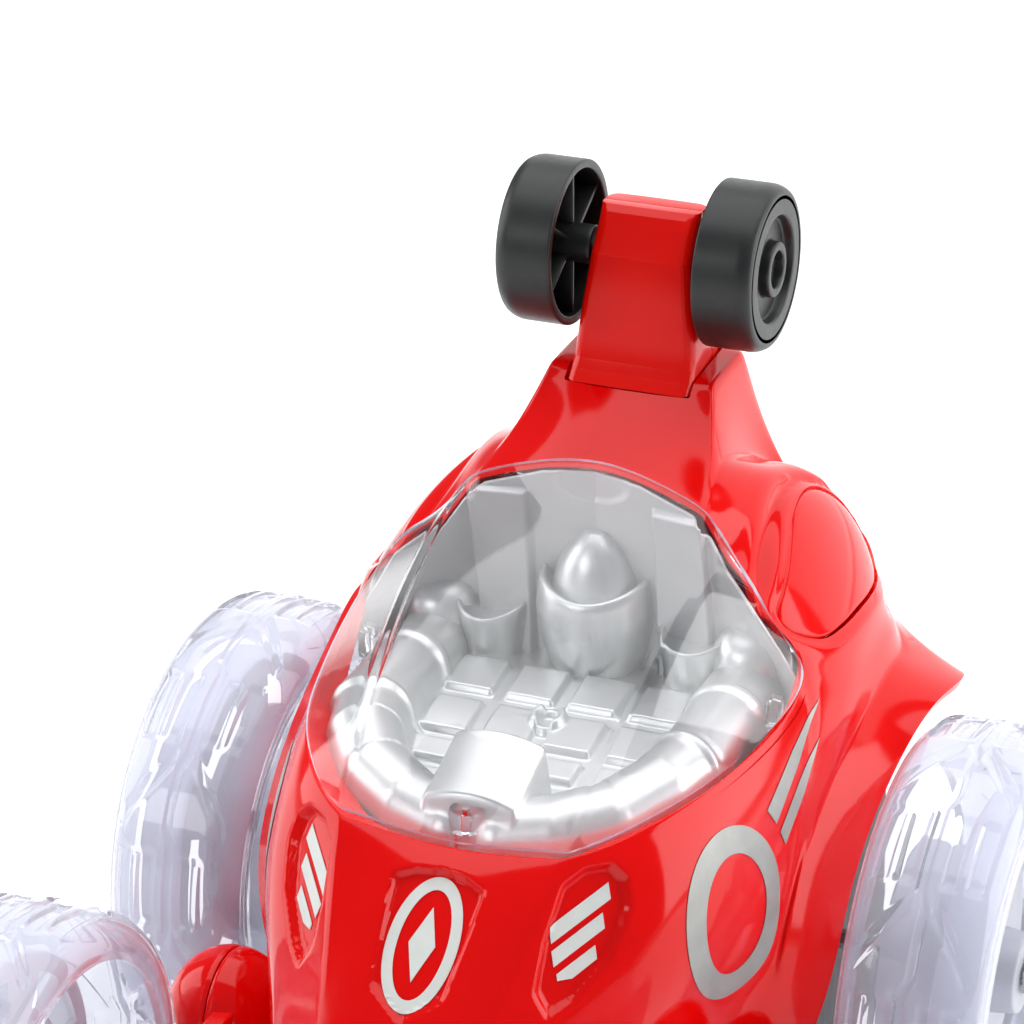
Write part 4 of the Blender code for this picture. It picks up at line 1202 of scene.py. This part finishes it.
def tyre_profile(radius, inner, outer, lip):
    """Closed section of a hollow clear tyre with soft shoulders."""
    half = []
    for k in range(15):
        angle = math.pi / 2 * k / 14
        half.append((radius - SHOULDER_R + SHOULDER_R * math.sin(angle) ** 0.8,
                     inner + 9.0 * (1 - math.cos(angle))))
    half = [(lip, inner + 0.6), (lip + 2.5, inner)] + half[1:]
    outside = half + [(r, inner + outer - x) for r, x in reversed(half)]
    inside = []
    for r, x in half:
        share = (r - lip) / (radius - lip)
        inside.append((r - TYRE_WALL * share, x + TYRE_WALL * (1 - share) * 0.9 + 0.4 * share))
    inside[0] = (lip, inner + 0.6 + TYRE_WALL)
    back = [(r, inner + outer - x) for r, x in inside] + [(r, x) for r, x in reversed(inside)]
    return refine(outside + back, 0.55)


def clear_tyre(name, middle, size, lip, side, body, stands_for, segments):
    radius = size.z / 2
    half_width = size.x / 2
    profile = tyre_profile(radius, middle.x - half_width, middle.x + half_width, lip)

    def tread(theta, x, r):
        relief = tread_relief(theta, x - middle.x, half_width - 4.0)
        is_tread = ramp(r, radius - 1.6, radius - 0.9)
        return r - relief * is_tread * 0.9

    points, faces = lathe(profile, middle.y - AXLE_Y, radius, side, segments, tread)
    piece(name, points, faces, WHEEL_CLEAR, body, stands_for, 50)


def clear_wheels():
    """The large wheels: a hollow clear tyre on a frosted hub."""
    axles = (
        ("rear", REAR_MIDDLE, REAR_SIZE, 44.5, 432,
         {"rim": 43.2, "drum": 27.0, "inner": 75.6, "outer": 104.6, "spokes": 6}),
        ("front", FRONT_MIDDLE, FRONT_SIZE, 39.5, 384,
         {"rim": 38.2, "drum": 22.0, "inner": 78.5, "outer": 102.6, "spokes": 5}))
    for end, middle, size, lip, segments, hub in axles:
        for word, side in SIDES:
            body = f"{end}_wheel_{word}"
            clear_tyre(f"{end}_tyre_{word}", middle, size, lip, side, body, [f"{end}_wheel_shell_{word}"],
                       segments)
            wheel_hub(f"{end}_hub_{word}", side, middle.y - AXLE_Y, size.z / 2, body=body,
                      stands_for=[f"{end}_wheel_hub_{word}"], **hub)


def wheel_hub(name, side, y, z, rim, drum, inner, outer, spokes, body, stands_for):
    """Frosted hub: a drum round the axle, a windowed disc, and a rim band that carries the tyre."""
    disc = outer - 11.5
    profile = rounded([
        (2.9, inner + 2), (8.0, inner + 2), (8.0, disc), (drum - 1.8, disc), (drum - 1.8, inner),
        (drum, inner), (drum, disc), (rim, disc), (rim, outer), (rim - 1.8, outer),
        (rim - 1.8, disc + 2.0), (10.5, disc + 2.0), (9.5, outer - 0.6), (2.9, outer - 0.6)], 0.7, 3)
    points, faces = lathe(refine(profile, 1.6), y, z, side, 120)
    hub = piece(name, points, faces, FROSTED, body, stands_for)
    cutters = []
    inside, outside = drum + 3.0, rim - 4.5
    half = math.pi / spokes * 0.62
    for k in range(spokes):
        angle = math.tau * k / spokes
        bm = bmesh.new()
        near, far = [], []
        for radius, start, stop in ((inside, -half, half), (outside, half * 1.08, -half * 1.08)):
            for s in range(9):
                a = angle + start + (stop - start) * s / 8
                back, up = radius * math.cos(a), radius * math.sin(a)
                for depth, ring in ((disc - 2, near), (disc + 5, far)):
                    ring.append(bm.verts.new(at(side * depth, y - back, z + up)))
        bm.faces.new(near)
        bm.faces.new(far)
        for s in range(len(near)):
            following = (s + 1) % len(near)
            bm.faces.new((near[s], near[following], far[following], far[s]))
        bmesh.ops.recalc_face_normals(bm, faces=bm.faces)
        cutters.append(raw_object("window", bm))
    cut(hub, cutters)
    hub.data.set_sharp_from_angle(angle=math.radians(40))


# ---------------------------------------------------------------- chassis cover

def rear_panel():
    """A service cover on the chassis' rear wall: a plate with ribs between four screws."""
    plate = raw_object("rear_panel", box_mesh((-41, 47.4, 34), (41, 51.4, 95)))
    round_edges(plate, 1.4, 3)
    freeze(plate)
    parts = [plate]
    for k in range(7):
        x = -27 + 9 * k
        rib = raw_object("rib", box_mesh((x - 1.6, 50.8, 46), (x + 1.6, 53.0, 83)))
        round_edges(rib, 0.9, 3)
        freeze(rib)
        parts.append(rib)
    parts += [screw_collar(x, z) for x in (-35.5, 35.5) for z in (39.5, 89.5)]
    dress(join(parts), TUB, "car_body")


def screw_collar(x, z):
    """A raised collar with a sunk screw in it, facing backwards."""
    outline = ((0.0, 50.9), (3.9, 50.9), (3.9, 52.4), (3.5, 52.8), (2.7, 52.8), (2.4, 52.4), (2.4, 51.6),
               (1.9, 51.6), (1.9, 52.3), (1.5, 52.6), (0.0, 52.6))
    steps = 32
    bm = bmesh.new()
    rows = []
    for radius, y in outline:
        turns = full_turn(steps) if radius else [0.0]
        rows.append([bm.verts.new(at(x + radius * math.cos(t), y, z + radius * math.sin(t))) for t in turns])
    for low, high in zip(rows, rows[1:]):
        for k in range(steps):
            after = k + 1
            corners = (low[k % len(low)], low[after % len(low)], high[after % len(high)], high[k % len(high)])
            bm.faces.new(list(dict.fromkeys(corners)))      # a row of one point makes triangles
    bmesh.ops.recalc_face_normals(bm, faces=bm.faces)
    return raw_object("collar", bm)


# ---------------------------------------------------------------- prints

MARK_DROP = 14.0                    # a flat mark starts this far outside the shell's surface
MARK_T = 0.12
MARK_LIFT, STRIPE_LIFT = 0.10, 0.12
DECAL_CENTRE = (55, -65, 98)
DECAL_OUT = (0.96, -0.27, 0.10)


def print_mark(name, rings, centre, outward, target, lift, material, stands_for):
    """A thin mark laid on the shell. rings are flat outlines, and one inside another is a hole."""
    curve = bpy.data.curves.new(name, "CURVE")
    curve.dimensions = "2D"
    curve.fill_mode = "BOTH"
    for ring in rings:
        spline = curve.splines.new("POLY")
        spline.points.add(len(ring) - 1)
        for point, (x, y) in zip(spline.points, ring):
            point.co = (x * MM, y * MM, 0, 1)
        spline.use_cyclic_u = True
    flat = add_object(name, curve)
    bpy.context.view_layer.update()
    graph = bpy.context.evaluated_depsgraph_get()
    mesh = bpy.data.meshes.new_from_object(flat.evaluated_get(graph))
    bpy.data.objects.remove(flat, do_unlink=True)
    bpy.data.curves.remove(curve)
    bm = bmesh.new()
    bm.from_mesh(mesh)
    bmesh.ops.triangulate(bm, faces=bm.faces)
    bmesh.ops.remove_doubles(bm, verts=bm.verts, dist=1e-6)
    for _ in range(5):
        long_edges = [edge for edge in bm.edges if edge.calc_length() > MM]
        if not long_edges:
            break
        bmesh.ops.subdivide_edges(bm, edges=long_edges, cuts=1)
        bmesh.ops.triangulate(bm, faces=[face for face in bm.faces if len(face.verts) > 3])
    bmesh.ops.recalc_face_normals(bm, faces=bm.faces)
    if sum(face.normal.z for face in bm.faces) < 0:
        bmesh.ops.reverse_faces(bm, faces=bm.faces)
    bm.to_mesh(mesh)
    bm.free()
    obj = add_object(name, mesh)
    axes = local_frame(outward)
    obj.rotation_mode = "QUATERNION"
    obj.rotation_quaternion = Matrix(axes).transposed().to_quaternion()
    obj.location = at(*centre) + axes[2] * MARK_DROP * MM
    wrap = obj.modifiers.new("wrap", "SHRINKWRAP")
    wrap.target = target
    wrap.wrap_method = "PROJECT"
    wrap.use_project_z = True
    wrap.use_negative_direction = True
    wrap.use_positive_direction = False
    wrap.offset = lift * MM
    thicken(obj, MARK_T, 1.0)
    freeze(obj)
    obj.data.transform(obj.matrix_world)
    obj.matrix_world = Matrix.Identity(4)
    dress(obj, material, "car_body", stands_for)


def on_side(side, vector):
    """A vector of the left side, mirrored for the right side."""
    return side * vector[0], vector[1], vector[2]


def hood_emblem(shell):
    """A plain oval band round a diamond."""
    diamond = [(0, 8.6), (3.1, 0), (0, -8.6), (-3.1, 0)]
    marks = (("hood_oval", [oval(8.2, 15.6), oval(5.7, 12.6)], ["hood_emblem"]),
             ("hood_diamond", [diamond], []))
    for name, rings, stands_for in marks:
        print_mark(name, rings, EMBLEM_CENTRE, EMBLEM_OUT, shell, MARK_LIFT, WHITE_INK, stands_for)


def wing_badges(shell):
    """Three plain slanted bars on each side, shorter towards the bottom."""
    bars = (((-7.0, 4.2), (7.4, 11.6), (7.4, 8.0), (-7.0, 0.6)),
            ((-7.2, -1.0), (5.2, 5.4), (5.2, 2.0), (-7.2, -4.4)),
            ((-6.8, -6.0), (2.6, -1.2), (2.6, -4.2), (-3.4, -7.4), (-6.8, -7.4)))
    for word, side in SIDES:
        rings = [[(side * x, y) for x, y in bar] for bar in bars]
        print_mark(f"badge_bars_{word}", rings, on_side(side, BADGE_CENTRE), on_side(side, BADGE_OUT), shell,
                   MARK_LIFT, WHITE_INK, [f"wing_badge_{word}"])


def side_decals(shell):
    """A plain oval ring with two tapered stripes, swept up towards the cockpit's corner."""
    stripes = (((15.5, 17.8), (30, 25.6), (45, 32.2), (31.5, 22.4), (17.8, 13.8)),
               ((18.8, 11.4), (30, 18.4), (41, 24.6), (31.2, 15.4), (20.2, 7.8)))
    for word, side in SIDES:
        place = (on_side(side, DECAL_CENTRE), on_side(side, DECAL_OUT), shell)
        ring = [[(side * (x - 1.0), y) for x, y in outline] for outline in (oval(17, 20), oval(11, 14))]
        sweep = [[(side * x, y) for x, y in stripe] for stripe in stripes]
        print_mark(f"side_ring_{word}", ring, *place, MARK_LIFT, GREY_INK, [f"side_decal_{word}"])
        print_mark(f"side_stripes_{word}", sweep, *place, STRIPE_LIFT, GREY_INK, [])


# ---------------------------------------------------------------- carried-over nodes and scene

def finish_frame_nodes():
    """Materials for the CAD nodes that keep their own shape."""
    steel_pairs = ("rear_axle", "axle_nut", "front_axle", "swing_arm_pin", "motor", "motor_shaft")
    kept = {
        TUB: ["chassis_tub", "battery_door", "power_switch"]
             + [f"gearbox_{kind}_{word}" for kind in ("case", "cover") for word, _ in SIDES],
        GEAR: [f"{kind}_gear_{word}" for kind in ("reduction", "drive") for word, _ in SIDES],
        STEEL: ["arm_axle"] + [f"chassis_screw_{k}" for k in (1, 2, 3, 4)]
               + [f"{kind}_{word}" for kind in steel_pairs for word, _ in SIDES],
        WRAP: ["battery_pack"],
        BOARD: ["circuit_board", "wheel_light_left", "wheel_light_right"],
    }
    for material, names in kept.items():
        for name in names:
            set_material(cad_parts[name].data, material)


LAMP_TARGET = Vector((0, 0, 0.12))
CAMERA_LENS = 140.625
CAMERA_PLACE = (0.3029, -0.7261, 0.5351)
CAMERA_RIGHT = Vector((0.9243, 0.3816, -0.0039))
CAMERA_UP = Vector((-0.1523, 0.3783, 0.9131))


def floor():
    bm = bmesh.new()
    bmesh.ops.create_grid(bm, x_segments=1, y_segments=1, size=8.0)
    obj = raw_object("floor", bm)
    material, nodes, links, shader = new_material("floor")
    soft = object_noise(nodes, links, 30, 2.0)
    colour = mix_colours(nodes, links, soft, (0.90, 0.90, 0.90), (0.88, 0.88, 0.88))
    links.new(colour, shader.inputs["Base Color"])
    shader.inputs["Roughness"].default_value = 0.7
    shader.inputs["Specular IOR Level"].default_value = 0.1
    shader.inputs["Emission Color"].default_value = (1, 1, 1, 1)
    shader.inputs["Emission Strength"].default_value = 0.35
    obj.data.materials.append(material)


def area_light(name, place, width, height, power):
    """A lamp that faces the middle of the car. Its place and size are metres."""
    light = bpy.data.lights.new(name, "AREA")
    light.shape = "RECTANGLE"
    light.size, light.size_y = width, height
    light.energy = power
    obj = add_object(name, light)
    obj.location = place
    obj.rotation_euler = (LAMP_TARGET - Vector(place)).to_track_quat("-Z", "Y").to_euler()


def studio():
    world = bpy.data.worlds.new("studio")
    bpy.context.scene.world = world
    world.use_nodes = True
    background = world.node_tree.nodes["Background"]
    background.inputs["Color"].default_value = (0.9, 0.95, 1.0, 1)
    background.inputs["Strength"].default_value = 0.22
    area_light("overhead", (0.0, 0.25, 1.5), 2.0, 1.6, 20)
    area_light("right_box", (1.3, 0.35, 0.55), 1.1, 1.0, 12)
    area_light("left_box", (-1.3, -0.15, 0.6), 1.1, 1.0, 10)
    area_light("back_box", (0.2, 1.6, 0.7), 2.6, 1.4, 14)
    area_light("front_fill", (-0.7, -1.5, 0.9), 0.5, 0.5, 3)


def camera():
    data = bpy.data.cameras.new("camera")
    data.lens = CAMERA_LENS
    data.sensor_width = 36.0
    obj = add_object("camera", data)
    backward = CAMERA_RIGHT.cross(CAMERA_UP)
    turn = Matrix((CAMERA_RIGHT, backward.cross(CAMERA_RIGHT), backward)).transposed().to_4x4()
    obj.matrix_world = Matrix.Translation(CAMERA_PLACE) @ turn
    bpy.context.scene.camera = obj


def main():
    shell = body_shell()
    shoulder_pods()
    tail_arm()
    swing_arms()
    canopy()
    canopy_fittings()
    cockpit_floor()
    cockpit_wall()
    seats()
    rear_panel()
    tail_wheels()
    clear_wheels()
    hood_emblem(shell)
    wing_badges(shell)
    side_decals(shell)
    finish_frame_nodes()
    floor()
    studio()
    camera()
    bpy.context.scene.view_settings.view_transform = "Standard"


main()
